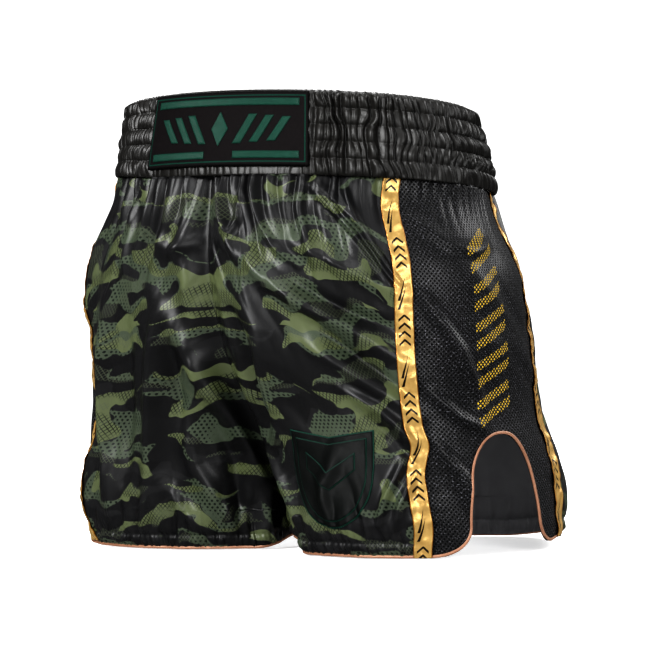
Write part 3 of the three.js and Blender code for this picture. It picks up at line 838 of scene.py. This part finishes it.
def gold_tape():
    """Gold ribbon with a woven mark: four chevrons, then two long thin slanted strokes."""
    n = Nodes("gold_tape")
    x, y = n.cloth()
    at = (y / TAPE_REPEAT).fract() * TAPE_REPEAT
    arrows = ((at + abs(x) * 0.9) / TAPE_ARROWS["pitch"]).zigzag(0.5) < 0.16
    span = (at > TAPE_ARROWS["from"]) * (at < TAPE_ARROWS["to"])
    marks = arrows * (abs(x) < TAPE_ARROWS["half"]) * span
    for start, slope in TAPE_STROKES:
        end = start + STROKE_LENGTH
        line = (at - start) * slope - 4.0
        near = abs(x - line) < (end - at) * 0.055
        marks = marks.most(near * ((at > start) * (at < end)))
    gold = n.mix(n.noise(6, 8, 2.0, 2.0), "97763f", "d1b070")
    gold = n.mix(n.step(abs(x), 6.6, 7.2), gold, "8a5c1e")
    colour = n.mix(marks, gold, "1a140d")
    return n.surface(colour, 0.34, satin_grain(n, 0.00005), metallic=0.5)


TWILL_LINE = (3.4, 0.55)  # the stitched line: how far inside the edge, and its half width
TWILL_BORDER = 1.6


def patch_twill():
    """Black twill with a thin dark green line stitched just inside its edge."""
    n = Nodes("patch_twill")
    x, y = n.cloth()
    half = PATCH["reach"] * PATCH_MM_PER_DEGREE
    tall = (PATCH["bottom"] - PATCH["top"]) / 2
    middle = -(PATCH["bottom"] + PATCH["top"]) / 2
    inset = (half - abs(x)).least(tall - abs(y - middle))
    line = abs(inset - TWILL_LINE[0]) < TWILL_LINE[1]
    border = inset < TWILL_BORDER
    cloth = n.mix(border, n.mix(n.noise(3, 3, 2.0, 3.0), "0c090a", "151112"), "080707")
    height = ((x + y) / 0.9).zigzag(0.5) + line + border * ((x + y) / 1.1).zigzag(1.0)
    colour = n.mix(line, cloth, "0c3329")
    return n.surface(colour, 0.7, n.bump(height, 0.0002), specular=0.12)


ALONG, ACROSS = (1, 0), (0, 1)
# Plain cloths: name, what the ribs cross, their pitch and bump, the size and seed of the
# clouds, dark and light colour, roughness, sheen, metallic and specular.
PLAIN_CLOTHS = (
    ("lining_reverse", ALONG, 0.9, 0.00005, (18, 18, 4.0), "5f5f61", "6c6c6e", 0.62, 0.1, 0, 0.3),
    ("underlay_knit", (1, 1), 1.1, 0.00008, (16, 16, 4.0), "1d1d1f", "29292b", 0.75, 0, 0, 0.25),
    ("copper_piping", (1, 0.8), 1.3, 0.00012, (9, 3, 2.0), "7a523c", "a87f66", 0.42, 0, 0.2, 0.5),
    ("woven_elastic", ACROSS, 1.6, 0.0003, (4, 4, 2.0), "cfccc2", "dedbd2", 0.85, 0.2, 0, 0.2),
)
CAMO_SATIN = camo_satin()
BLACK_SATIN = plain_satin("black_satin", "12110f", 0.42, sheen=0.0)
LABEL = plain_satin("label_ribbon", "b9b9b4", 0.5)
MESH = open_mesh()
GOLD = gold_tape()
PATCH_CLOTH = patch_twill()
LINING, UNDERLAY, COPPER, ELASTIC = (woven(*row) for row in PLAIN_CLOTHS)
GREEN = embroidery("green_thread", "092f25", ALONG)
DARK_GREEN = embroidery("dark_green_thread", "0a2b22", ALONG)
BLACK_THREAD = embroidery("black_thread", "070908", ACROSS)

# --- Leg panels ---------------------------------------------------------------------------

ROWS = 210
ROWS_BELOW_CROTCH = 17
TOP_LAP, HEM_LAP = 1.0, 1.5  # how far a panel passes the waist seam, and stops above the hem
COLUMNS = {"front": 230, "back": 190, "side": 140}
ON_MIDDLE = 0.03  # how far a satin panel keeps from the middle plane
# In each satin hem: the piece, its lower and upper edge above the hem, how deep it lies
# under the satin, its slot and its thickness. The second covers the first.
HEM_STRIPS = (
    ("hem_elastic", 4.0, 10.5, 1.5, ELASTIC, "woven_elastic", 1.0),
    ("hem_facing", 1.5, 14.0, 3.1, LINING, "lining_cloth", 0.5),
)
HEM_STRIP_TRIM = 5.0
INSEAM_END = 88.5
LEGS = (("left", 1), ("right", -1))


def row_shares():
    """From 0 at the waist seam to 1 at the hem, closer together towards the crotch."""
    top, bottom = float(tilted(WAIST_SEAM, 0)), INSEAM_LIFT + 2.5
    down = np.linspace(1, 0, ROWS + 1 - ROWS_BELOW_CROTCH)
    above = CROTCH + (top - CROTCH) * (0.65 * down**2 + 0.35 * down)
    below = np.linspace(CROTCH, bottom, ROWS_BELOW_CROTCH + 1)[1:]
    return (top - np.concatenate([above, below])) / (top - bottom)


SHARES = row_shares()


def seam_angle(z):
    return np.where(z > CROTCH, seam_turn(z), SEAM_SIDE)


def panel_edges(side, place):
    """The angles of a panel's two edges, as functions of the height."""

    def beside_tape_line(which, beside):
        return lambda z: tape_angle(side, which, z) + beside

    if place == "front":
        return lambda z: -seam_angle(z), beside_tape_line("front", 1.0)
    if place == "back":
        return beside_tape_line("back", -1.0), lambda z: 180 + seam_angle(z)
    return beside_tape_line("front", -0.5), beside_tape_line("back", 0.5)


def panel_grid(side, place):
    """Angles and heights of a panel's grid, from its top edge to its bottom one."""
    start, end = panel_edges(side, place)
    across = np.linspace(0, 1, COLUMNS[place] + 1)

    def angles(z):
        return start(z) + (end(z) - start(z)) * across

    top = waist_seam(side, angles(WAIST_SEAM[0])) + TOP_LAP
    bottom = hem_height(side, angles(0.0)) + HEM_LAP
    z = top + (bottom - top) * SHARES[:, None]
    return angles(z), z


def slit_curve(side, steps=40):
    """The edge of the slit's opening as (distance from the side line, height), front to back."""
    s = SLIT
    turn = np.linspace(0, np.pi / 2, steps)
    rows = []
    for sign in (-1, 1):
        depth = float(front_at(0) if sign < 0 else back_at(0))
        angle = math.degrees(math.acos(-sign * (s["half"] + s["flare"]) / depth))
        foot = float(hem_height(side, angle))
        y = s["half"] + s["corner"] * (1 - np.sin(turn))
        y = y + (s["flare"] - s["corner"]) * np.cos(turn)
        z = foot + (s["corner"] - foot) * (1 - np.cos(turn))
        arch_y = s["half"] * np.cos(turn[1:]) ** (2 / SLIT_POWERS[0])
        rise = np.sin(turn[1:]) ** (2 / SLIT_POWERS[1])
        arch_z = s["shoulder"] + (s["top"] - s["shoulder"]) * rise
        rows.append((np.concatenate([y, arch_y]), np.concatenate([z, arch_z])))
    (front_y, front_z), (back_y, back_z) = rows
    y = np.concatenate([-front_y, back_y[::-1][1:]])
    return y, np.concatenate([front_z, back_z[::-1][1:]])


def cut_slit(side, angle, z):
    """Which quads lie outside the slit, with the grid's points by its edge moved onto it."""
    curve_y, curve_z = slit_curve(side)
    top = int(np.argmax(curve_z))
    depth = depth_at(angle, z)
    y = -depth * np.cos(np.radians(angle))
    front_half = np.interp(z, curve_z[: top + 1], -curve_y[: top + 1])
    back_half = np.interp(z, curve_z[top:][::-1], curve_y[top:][::-1])
    half = np.where(z > curve_z[top], 0, np.where(y < 0, front_half, back_half))
    over = np.interp(y, curve_y, curve_z)
    inside = (np.abs(y) < half) & (z < over)
    whole = inside[:-1, :-1] & inside[1:, :-1] & inside[:-1, 1:] & inside[1:, 1:]
    push_y = inside & (half - np.abs(y) <= over - z)
    new_y = np.where(push_y, np.sign(y) * half, y)
    new_z = np.where(inside & ~push_y, over, z)
    new_angle = np.degrees(np.arccos(np.clip(-new_y / depth, -1, 1)))
    return ~whole, np.where(inside, new_angle, angle), new_z


def leg_panel(word, side, place):
    angle, z = panel_grid(side, place)
    relief = satin_relief(side, angle, z)
    outer, inner = (surface(side, angle, z, relief - d, ON_MIDDLE) for d in (0, CLOTH))
    uv = np.stack([cloth_across(angle, z), z], -1)
    node = f"{word}_{place}_panel"
    materials = [CAMO_SATIN, LINING]
    piece = grid_shell(node + "_satin", outer, inner, uv, materials, mirrored=side < 0)
    finish_piece(piece, [node])


def side_panel(word, side):
    keep, angle, z = cut_slit(side, *panel_grid(side, "side"))
    uv = np.stack([cloth_across(angle, z) - cloth_across(PRINT["middle"], z), z], -1)
    relief = mesh_relief(side, angle, z)
    for kind, materials, slot, out in (
        ("mesh", [MESH, MESH], "open_mesh", relief),
        ("underlay", [UNDERLAY, LINING], "mesh_underlay", relief - UNDERLAY_GAP),
    ):
        outer, inner = (surface(side, angle, z, out - d) for d in (0, MESH_CLOTH[kind]))
        node = f"{word}_side_{kind}"
        name = node + "_cloth"
        piece = grid_shell(name, outer, inner, uv, materials, mirrored=side < 0, keep=keep)
        finish_piece(piece, [node])


def tape(word, side, place):
    """A ribbon over a side seam, with the small waves that its stitching gives it."""
    width = np.linspace(-TAPE_WIDTH / 2, TAPE_WIDTH / 2, 13)
    line = tape_angle(side, place, 150)
    top, bottom = waist_seam(side, line) + 1.5, hem_height(side, line) + 0.5
    z = bottom + (top - bottom) * np.linspace(1, 0, 260)[:, None] * np.ones(len(width))
    across = width * np.ones_like(z)
    middle = tape_angle(side, place, z)
    sway = 0.5 * noise(z / 34, 0, 121 + side) + 0.2 * noise(z / 12, 0, 122 + side)
    angle = middle + (across + sway) * degrees_per_mm(middle, z)
    wave = 1.1 * noise((z + 0.8 * across) / 8, across / 30, 131 + side + len(place))
    wave = wave + 0.6 * noise((z - 0.6 * across) / 4.5, across / 20, 132 + side)
    broad = 1.3 * noise((z + 1.5 * across) / 21, across / 40, 141 + side)
    over = smoothstep(across if place == "front" else -across, -2, 2)
    relief = satin_relief(side, angle, z) * (1 - over) + mesh_relief(side, angle, z) * over
    relief = relief + 0.9 + 0.9 * np.abs(wave) + 0.5 * np.abs(broad)
    outer, inner = (surface(side, angle, z, relief - d) for d in (0, TAPE_CLOTH))
    uv = np.stack([across, z + 17 * side], -1)
    node = f"{word}_{place}_tape"
    piece = grid_shell(node + "_ribbon", outer, inner, uv, [GOLD, GOLD], mirrored=side < 0)
    finish_piece(piece, [node])


def leg_binding(word, side):
    """Piping round the whole leg opening: up round the slit and along the hem."""
    curve_y, curve_z = slit_curve(side)
    depth = np.where(curve_y < 0, front_at(curve_z), back_at(curve_z))
    slit_angles = np.degrees(np.arccos(np.clip(-curve_y / depth, -1, 1)))
    round_leg = np.linspace(slit_angles[-1], slit_angles[0] + 360, 420)[1:-1]
    wrapped = np.where(round_leg > 270, round_leg - 360, round_leg)
    angle = np.concatenate([slit_angles, wrapped])
    z = np.concatenate([curve_z, hem_height(side, wrapped)])
    between = (angle > tape_angle(side, "front", z)) & (angle < tape_angle(side, "back", z))
    mesh, satin = mesh_relief(side, angle, z), satin_relief(side, angle, z + 1)
    relief = np.where(between, mesh, satin)
    for _ in range(4):
        relief = (np.roll(relief, 1) + 2 * relief + np.roll(relief, -1)) / 4
    path = surface(side, angle, z + 1.2, relief - 0.3, apart=1.8)
    along = lengths_between(path)
    even = np.linspace(0, along[-1], int(along[-1] / BINDING["step"]), endpoint=False)
    flat = np.concatenate([normal_at(angle, z), np.zeros((len(z), 1))], 1) * [side, 1, 1]
    path, normals = (
        np.stack([np.interp(even, along, np.append(row, row[0])) for row in rows.T], 1)
        for rows in (path, flat)
    )
    if side > 0:
        path, normals = path[::-1], normals[::-1]
    node = f"{word}_leg_binding"
    piece, length = folded_strip(node + "_strip", path, normals, [COPPER])
    finish_piece(piece, [node])


def hem_strips(word, side, place):
    """The elastic in a satin hem, and the facing that covers it inside."""
    start, end = panel_edges(side, place)
    if place == "front":
        ends = (-INSEAM_END, float(end(0.0)) - HEM_STRIP_TRIM)
    else:
        ends = (float(start(0.0)) + HEM_STRIP_TRIM, 180 + INSEAM_END)
    round_leg = np.linspace(*ends, 260)
    for kind, low, high, depth, material, slot, thick in HEM_STRIPS:
        z = hem_height(side, round_leg) + np.linspace(high, low, 7)[:, None]
        angle = round_leg * np.ones_like(z)
        relief = satin_relief(side, angle, z) - CLOTH - depth
        outer = surface(side, angle, z, relief, apart=2.0)
        inner = surface(side, angle, z, relief - thick, apart=3.0)
        uv = np.stack([cloth_across(angle, z), z], -1)
        node = f"{word}_{place}_{kind}"
        materials = [material, material]
        piece = grid_shell(node + "_strip", outer, inner, uv, materials, mirrored=side < 0)
        finish_piece(piece, [node])


for word, side in LEGS:
    for place in TAPES:
        leg_panel(word, side, place)
    side_panel(word, side)
    for place in TAPES:
        tape(word, side, place)
    leg_binding(word, side)
    for place in TAPES:
        hem_strips(word, side, place)

# --- Waistband ----------------------------------------------------------------------------

BAND_GRID = (1150, 75)
ELASTIC_OUT = 0.9
BAND_CLOTH = 0.5
# The waistband's two cloths: piece, node, distance from the oval, seed, which way it faces,
# and how strong its gathers are.
BAND_CLOTHS = (
    ("waistband_outer_shirring", "waistband_outer", 1.9, 201, 1, 1.0),
    ("waistband_lining_shirring", "waistband_lining", -1.6, 231, -1, 0.75),
)


def band_heights(angle, share):
    """Heights on the waistband, share from 0 at the rim to 1 at the seam."""
    top = tilted(RIM, angle)
    right = np.where(angle > 180, 360 - angle, angle)
    seam = np.where(angle > 180, waist_seam(-1, right), waist_seam(1, right))
    return top + (seam - top) * share


def band_relief(angle, share, seed, depth):
    """Cloth gathered on five elastics: it swells in each channel and is drawn in between."""
    arc = band_arc(angle)
    round_it = float(band_arc(360.0))
    channel = np.clip(share * CHANNELS, 0, CHANNELS - 1e-6)
    swell = np.sin(np.pi * (channel - np.floor(channel))) ** 0.6
    blend = smoothstep(arc, round_it - 40, round_it)
    zigzag = (np.abs((channel / 2) % 1 - 0.5) * 4 - 1) * 1.6

    def looped(make):
        """Runs on without a step where the band meets its own start."""
        return make(arc) * (1 - blend) + make(arc - round_it) * blend

    def bent(a):
        wander = 3.2 * noise(a / 13, channel * 0.8, seed + 1)
        return a + zigzag * (0.4 + noise(a / 60, 0, seed)) + wander

    def broad_gathers(a):
        sway = 4 * noise(channel * 0.7, a / 90, seed + 3)
        return pleats(bent(a) + sway, 14, seed + 4, roundness=1.1)

    narrow = looped(lambda a: pleats(bent(a), 6.2, seed + 2))
    broad = looped(broad_gathers)
    lively = 0.7 + 0.5 * looped(lambda a: noise(a / 48, channel * 0.35, seed + 5))
    patch = PATCH["middle"] + 360 * (angle > 180)
    lively = lively + 0.35 * bell(np.abs(angle - patch) - 34, 10)
    lively = lively + 0.25 * (np.abs(angle - 180) < 90)
    tight = 1.9 * narrow * (1 - swell)
    fine = 0.35 * looped(lambda a: noise(a / 3.2, channel * 1.7, seed + 6))
    free = lively * (5.2 * narrow + 3.4 * broad) + fine
    return depth * (0.3 * swell + (0.4 + 0.6 * swell) * free + tight)


def band_grid(columns, rows, top=0.0, bottom=1.0):
    """Angles, shares and heights of a ring of the waistband."""
    angle = np.linspace(0, 360, columns + 1)[None, :] + np.zeros((rows + 1, 1))
    share = np.linspace(top, bottom, rows + 1)[:, None] + 0 * angle
    return angle, share, band_heights(angle, share)


def band_piece(name, node, angle, z, faces, materials):
    for face in faces:
        face[:, -1] = face[:, 0]
    uv = np.stack([band_arc(angle), z], -1)
    piece = grid_shell(name, *faces, uv, materials, ring=True)
    finish_piece(piece, [node])


def waistband():
    angle, share, z = band_grid(*BAND_GRID)
    # Under the patch the gathers are pressed flatter.
    from_patch = np.abs((angle - PATCH["middle"] + 180) % 360 - 180) - PATCH["reach"]
    pressed = 0.3 + 0.7 * smoothstep(from_patch, -3, 1)
    edge = smoothstep(share, 0, 0.05)
    for name, node, base, seed, sign, depth in BAND_CLOTHS:
        relief = band_relief(angle, share, seed, depth) * pressed
        out = base + sign * relief * (0.25 + 0.75 * edge)
        out = out - sign * 1.6 * (1 - smoothstep(share, 0, 0.035))
        ruffled = z + 0.9 * (relief / 4) * (1 - edge)
        raised = ring_surface(angle, ruffled + (0.8 if sign > 0 else 0), out)
        faces = [raised, ring_surface(angle, ruffled, out - sign * BAND_CLOTH)][::sign]
        materials = [BLACK_SATIN, BLACK_SATIN]
        band_piece(
            name, node, angle, z, faces, materials
        )
    for k in range(CHANNELS):
        low, high = (k + CHANNEL_EDGE) / CHANNELS, (k + 1 - CHANNEL_EDGE) / CHANNELS
        angle, _, z = band_grid(360, 4, low, high)
        faces = [ring_surface(angle, z, out) for out in (ELASTIC_OUT, -ELASTIC_OUT)]
        node = f"waist_elastic_{k + 1}"
        band_piece(node + "_band", node, angle, z, faces, [ELASTIC])


waistband()

# --- Patch on the waistband ------------------------------------------------------------------

# The patch's bars: node, angles from the middle, and distances below the rim.
PATCH_BARS = (
    ("patch_top_bar", -26, 26, 6, 12),
    ("patch_bottom_bar_right", -26, -5, 49, 55),
    ("patch_bottom_bar_left", 5, 26, 49, 55),
)
STROKES = {"count": 3, "first": 8.5, "pitch": 5.5, "half": 1.4, "top": 19, "bottom": 43}
STROKE_SLANT = 5
LOZENGE = {"wide": 2.95, "middle": 31, "tall": 14}


def on_patch(name, node, slot, angle, below, base, thick, materials):
    """A piece on the patch, from grids of angles from its middle and distances below the rim."""
    z = tilted(RIM, PATCH["middle"] + angle) - below
    out = base + 0.5 * noise(angle / 9, below / 22, 301)
    inland = np.ones(angle.shape)
    inland[0], inland[-1], inland[:, 0], inland[:, -1] = 0, 0, 0, 0
    outer = ring_surface(PATCH["middle"] + angle, z, out + thick * (0.4 + 0.6 * inland))
    inner = ring_surface(PATCH["middle"] + angle, z, out)
    uv = np.stack([angle * PATCH_MM_PER_DEGREE, -below], -1)
    piece = grid_shell(name, outer, inner, uv, materials)
    finish_piece(piece, [node])


def block(from_angle, to_angle, top, bottom, columns, rows, slant=0.0):
    """A slanted rectangle's grid, as angles and distances below the rim."""
    share = np.linspace(0, 1, rows + 1)[:, None]
    angle = np.linspace(from_angle, to_angle, columns + 1)[None, :] + slant * (0.5 - share)
    return angle, top + (bottom - top) * share + 0 * angle


def stitched(node, angle, below):
    on_patch(node + "_stitches", node, "green_thread", angle, below, *STITCHING, [GREEN])


def patch():
    angle, below = block(-PATCH["reach"], PATCH["reach"], PATCH["top"], PATCH["bottom"], 140, 60)
    on_patch("patch_base_twill", "patch_base", "patch_cloth", angle, below, 5.4, 1.2, [PATCH_CLOTH])
    for node, *place in PATCH_BARS:
        stitched(node, *block(*place, 100, 8))
    s = STROKES
    for word, side in LEGS:
        for k in range(s["count"]):
            middle = side * (s["first"] + s["pitch"] * k)
            place = (middle - s["half"], middle + s["half"], s["top"] + k, s["bottom"] - k)
            node = f"patch_motif_{word}_{k + 1}"
            stitched(node, *block(*place, 8, 26, side * STROKE_SLANT))
    share = np.linspace(-1, 1, 31)[:, None]
    wide = np.linspace(-1, 1, 21)[None, :]
    angle = LOZENGE["wide"] * wide * (1.001 - np.abs(share))
    below = LOZENGE["middle"] + LOZENGE["tall"] * share + 0 * angle
    stitched("patch_motif_lozenge", angle, below)


patch()

# --- Emblem and label --------------------------------------------------------------------------

SHIELD_RINGS = ((0, GREEN), (0.9, BLACK_THREAD), (5.5, DARK_GREEN), (6.3, BLACK_THREAD))
CHEVRON_LAYERS = ((0, DARK_GREEN), (0.8, BLACK_THREAD))
CHEVRON_HALF = 24
EMBLEM_CLOTH = 0.5


def emblem_layer(name, nodes, slot, half, top_at, bottom_at, rise, material, rows=60):
    """One flat layer of the emblem, between two lines over its width."""
    s = np.linspace(-1, 1, 61)[None, :]
    t = np.linspace(0, 1, rows + 1)[:, None]
    x = half * s + 0 * t
    top, bottom = top_at(x), bottom_at(x)
    z = EMBLEM["z"] + top + (bottom - top) * t
    sine = (EMBLEM["x"] + x - centre_at(z)) / half_at(z)
    angle = np.degrees(np.arcsin(np.clip(sine, -0.999, 0.999)))
    relief = satin_relief(1, angle, z) + rise
    outer, inner = (surface(1, angle, z, relief + d) for d in (EMBLEM_CLOTH, 0))
    piece = grid_shell(name, outer, inner, np.stack([x, z], -1), [material])
    finish_piece(piece, nodes)


def emblem():
    """A plain shield with a chevron, sewn on the front of the left leg."""
    half = EMBLEM["half"]
    for k, (inset, material) in enumerate(SHIELD_RINGS):

        def top(x):
            return 40 - inset - 6 * (1 - np.clip(np.abs(x) / half, 0, 1))

        def bottom(x):
            reach = (np.abs(x) / (half - inset)) ** 2
            return 10 - (50 - inset) * np.sqrt(np.clip(1 - reach, 0, 1))

        nodes = [] if k else ["emblem_shield"]
        shape = (half - inset, top, bottom, 0.3 + 0.4 * k, material)
        emblem_layer(f"emblem_shield_ring_{k + 1}", nodes, "patch_cloth", *shape)
    for k, (inset, material) in enumerate(CHEVRON_LAYERS):

        def top(x):
            return 6 - inset + 16 * np.abs(x) / CHEVRON_HALF

        def bottom(x):
            return -9 + inset + 17 * np.abs(x) / CHEVRON_HALF

        nodes = [] if k else ["emblem_chevron"]
        shape = (CHEVRON_HALF - inset, top, bottom, 1.9 + 0.3 * k, material)
        emblem_layer(f"emblem_chevron_stitches_{k + 1}", nodes, "green_thread", *shape, rows=20)


emblem()

LABEL_REACH = 10  # degrees to each side of the middle of the back
LABEL_MM_PER_DEGREE = 2.6


def care_label():
    angle, below = block(180 - LABEL_REACH, 180 + LABEL_REACH, 30, 62, 40, 24)
    z = tilted(RIM, angle) - below
    curl = 1.2 * noise(angle / 7, below / 14, 401) * smoothstep(below, 34, 60)
    outer, inner = (ring_surface(angle, z, out + curl) for out in (-6.0, -6.5))
    uv = np.stack([angle * LABEL_MM_PER_DEGREE, z], -1)
    piece = grid_shell("care_label_ribbon", outer, inner, uv, [LABEL])
    finish_piece(piece, ["care_label"])


care_label()

# --- Stage, light and camera ------------------------------------------------------------------

FLOOR = {"radius": 1.8, "height": -0.0008, "glow": 0.35}
WHITE = (1, 1, 1, 1)
WORLD_LIGHT, WORLD_SEEN = 0.12, 1.0
LAMP_AIM = Vector((0, 0, 0.2))
# Soft square lights: name, azimuth, elevation, distance, size, power.
LAMPS = (
    ("key", -4, 24, 2.4, 0.7, 58),
    ("fill", 66, 14, 2.4, 0.9, 24),
    ("top", 50, 82, 2.0, 1.4, 19),
    ("rim", 150, 28, 2.4, 1.0, 24),
    ("back", 222, 38, 2.4, 1.0, 42),
)
CAMERA = {"azimuth": 38.447, "elevation": 1.14, "roll": 1.138, "distance": 3.135}
CAMERA_AIM = (0.185, 0.0216, 0.0011)  # height of the aim, then how far right and up of it
LENS = 206.0


def stage():
    n = Nodes("floor")
    grain = n.made("ShaderNodeTexNoise", {"Scale": 40.0})
    n.surface(n.mix(grain, "f6f6f6", "f9f9f9"), 0.9, specular=0.1)
    n.bsdf.inputs["Emission Color"].default_value = WHITE
    n.bsdf.inputs["Emission Strength"].default_value = FLOOR["glow"]
    turn = np.linspace(0, 2 * np.pi, 97)[:-1]
    radius, height = FLOOR["radius"], FLOOR["height"]
    points = [(radius * math.sin(t), radius * math.cos(t), height) for t in turn[::-1]]
    mesh = bpy.data.meshes.new("floor")
    mesh.from_pydata(points, [], [range(len(points))])
    floor = put_in_scene("floor", mesh, [n.material])
    floor.visible_glossy = False


def direction(azimuth, elevation):
    """The direction from the shorts to something, 0 straight in front and 90 on their left."""
    a, e = math.radians(azimuth), math.radians(elevation)
    return Vector((math.sin(a) * math.cos(e), -math.cos(a) * math.cos(e), math.sin(e)))


def lamp(name, azimuth, elevation, distance, size, power):
    """A light that faces the middle of the shorts from a direction."""
    back = direction(azimuth, elevation)
    data = bpy.data.lights.new(name, "AREA")
    data.size, data.energy = size, power
    light = put_in_scene(name, data)
    light.location = LAMP_AIM + back * distance
    light.rotation_mode = "QUATERNION"
    light.rotation_quaternion = (-back).to_track_quat("-Z", "Y")


def camera():
    azimuth, roll = math.radians(CAMERA["azimuth"]), math.radians(CAMERA["roll"])
    back = direction(CAMERA["azimuth"], CAMERA["elevation"])
    level = Vector((math.cos(azimuth), math.sin(azimuth), 0))
    above = back.cross(level)
    right = level * math.cos(roll) - above * math.sin(roll)
    up = level * math.sin(roll) + above * math.cos(roll)
    data = bpy.data.cameras.new("camera")
    data.lens, data.sensor_width = LENS, 36.0
    data.clip_start, data.clip_end = 0.05, 50
    seen_from = put_in_scene("camera", data)
    height, rightwards, upwards = CAMERA_AIM
    aim = Vector((0, SIDE_LINE_Y / 1000, height)) + right * rightwards + up * upwards
    seen_from.location = aim + back * CAMERA["distance"]
    seen_from.rotation_mode = "QUATERNION"
    seen_from.rotation_quaternion = Matrix((right, up, back)).transposed().to_quaternion()
    bpy.context.scene.camera = seen_from


def world():
    made = bpy.data.worlds.new("studio")
    made.use_nodes = True
    tree = made.node_tree
    seen = tree.nodes.new("ShaderNodeLightPath")
    strength = tree.nodes.new("ShaderNodeMapRange")
    strength.inputs["To Min"].default_value = WORLD_LIGHT
    strength.inputs["To Max"].default_value = WORLD_SEEN
    tree.links.new(seen.outputs["Is Camera Ray"], strength.inputs["Value"])
    background = tree.nodes["Background"]
    background.inputs["Color"].default_value = WHITE
    tree.links.new(strength.outputs[0], background.inputs["Strength"])
    bpy.context.scene.world = made


stage()
for row in LAMPS:
    lamp(*row)
camera()
world()
bpy.context.scene.view_settings.view_transform = "Standard"
bpy.context.scene.view_settings.look = "High Contrast"

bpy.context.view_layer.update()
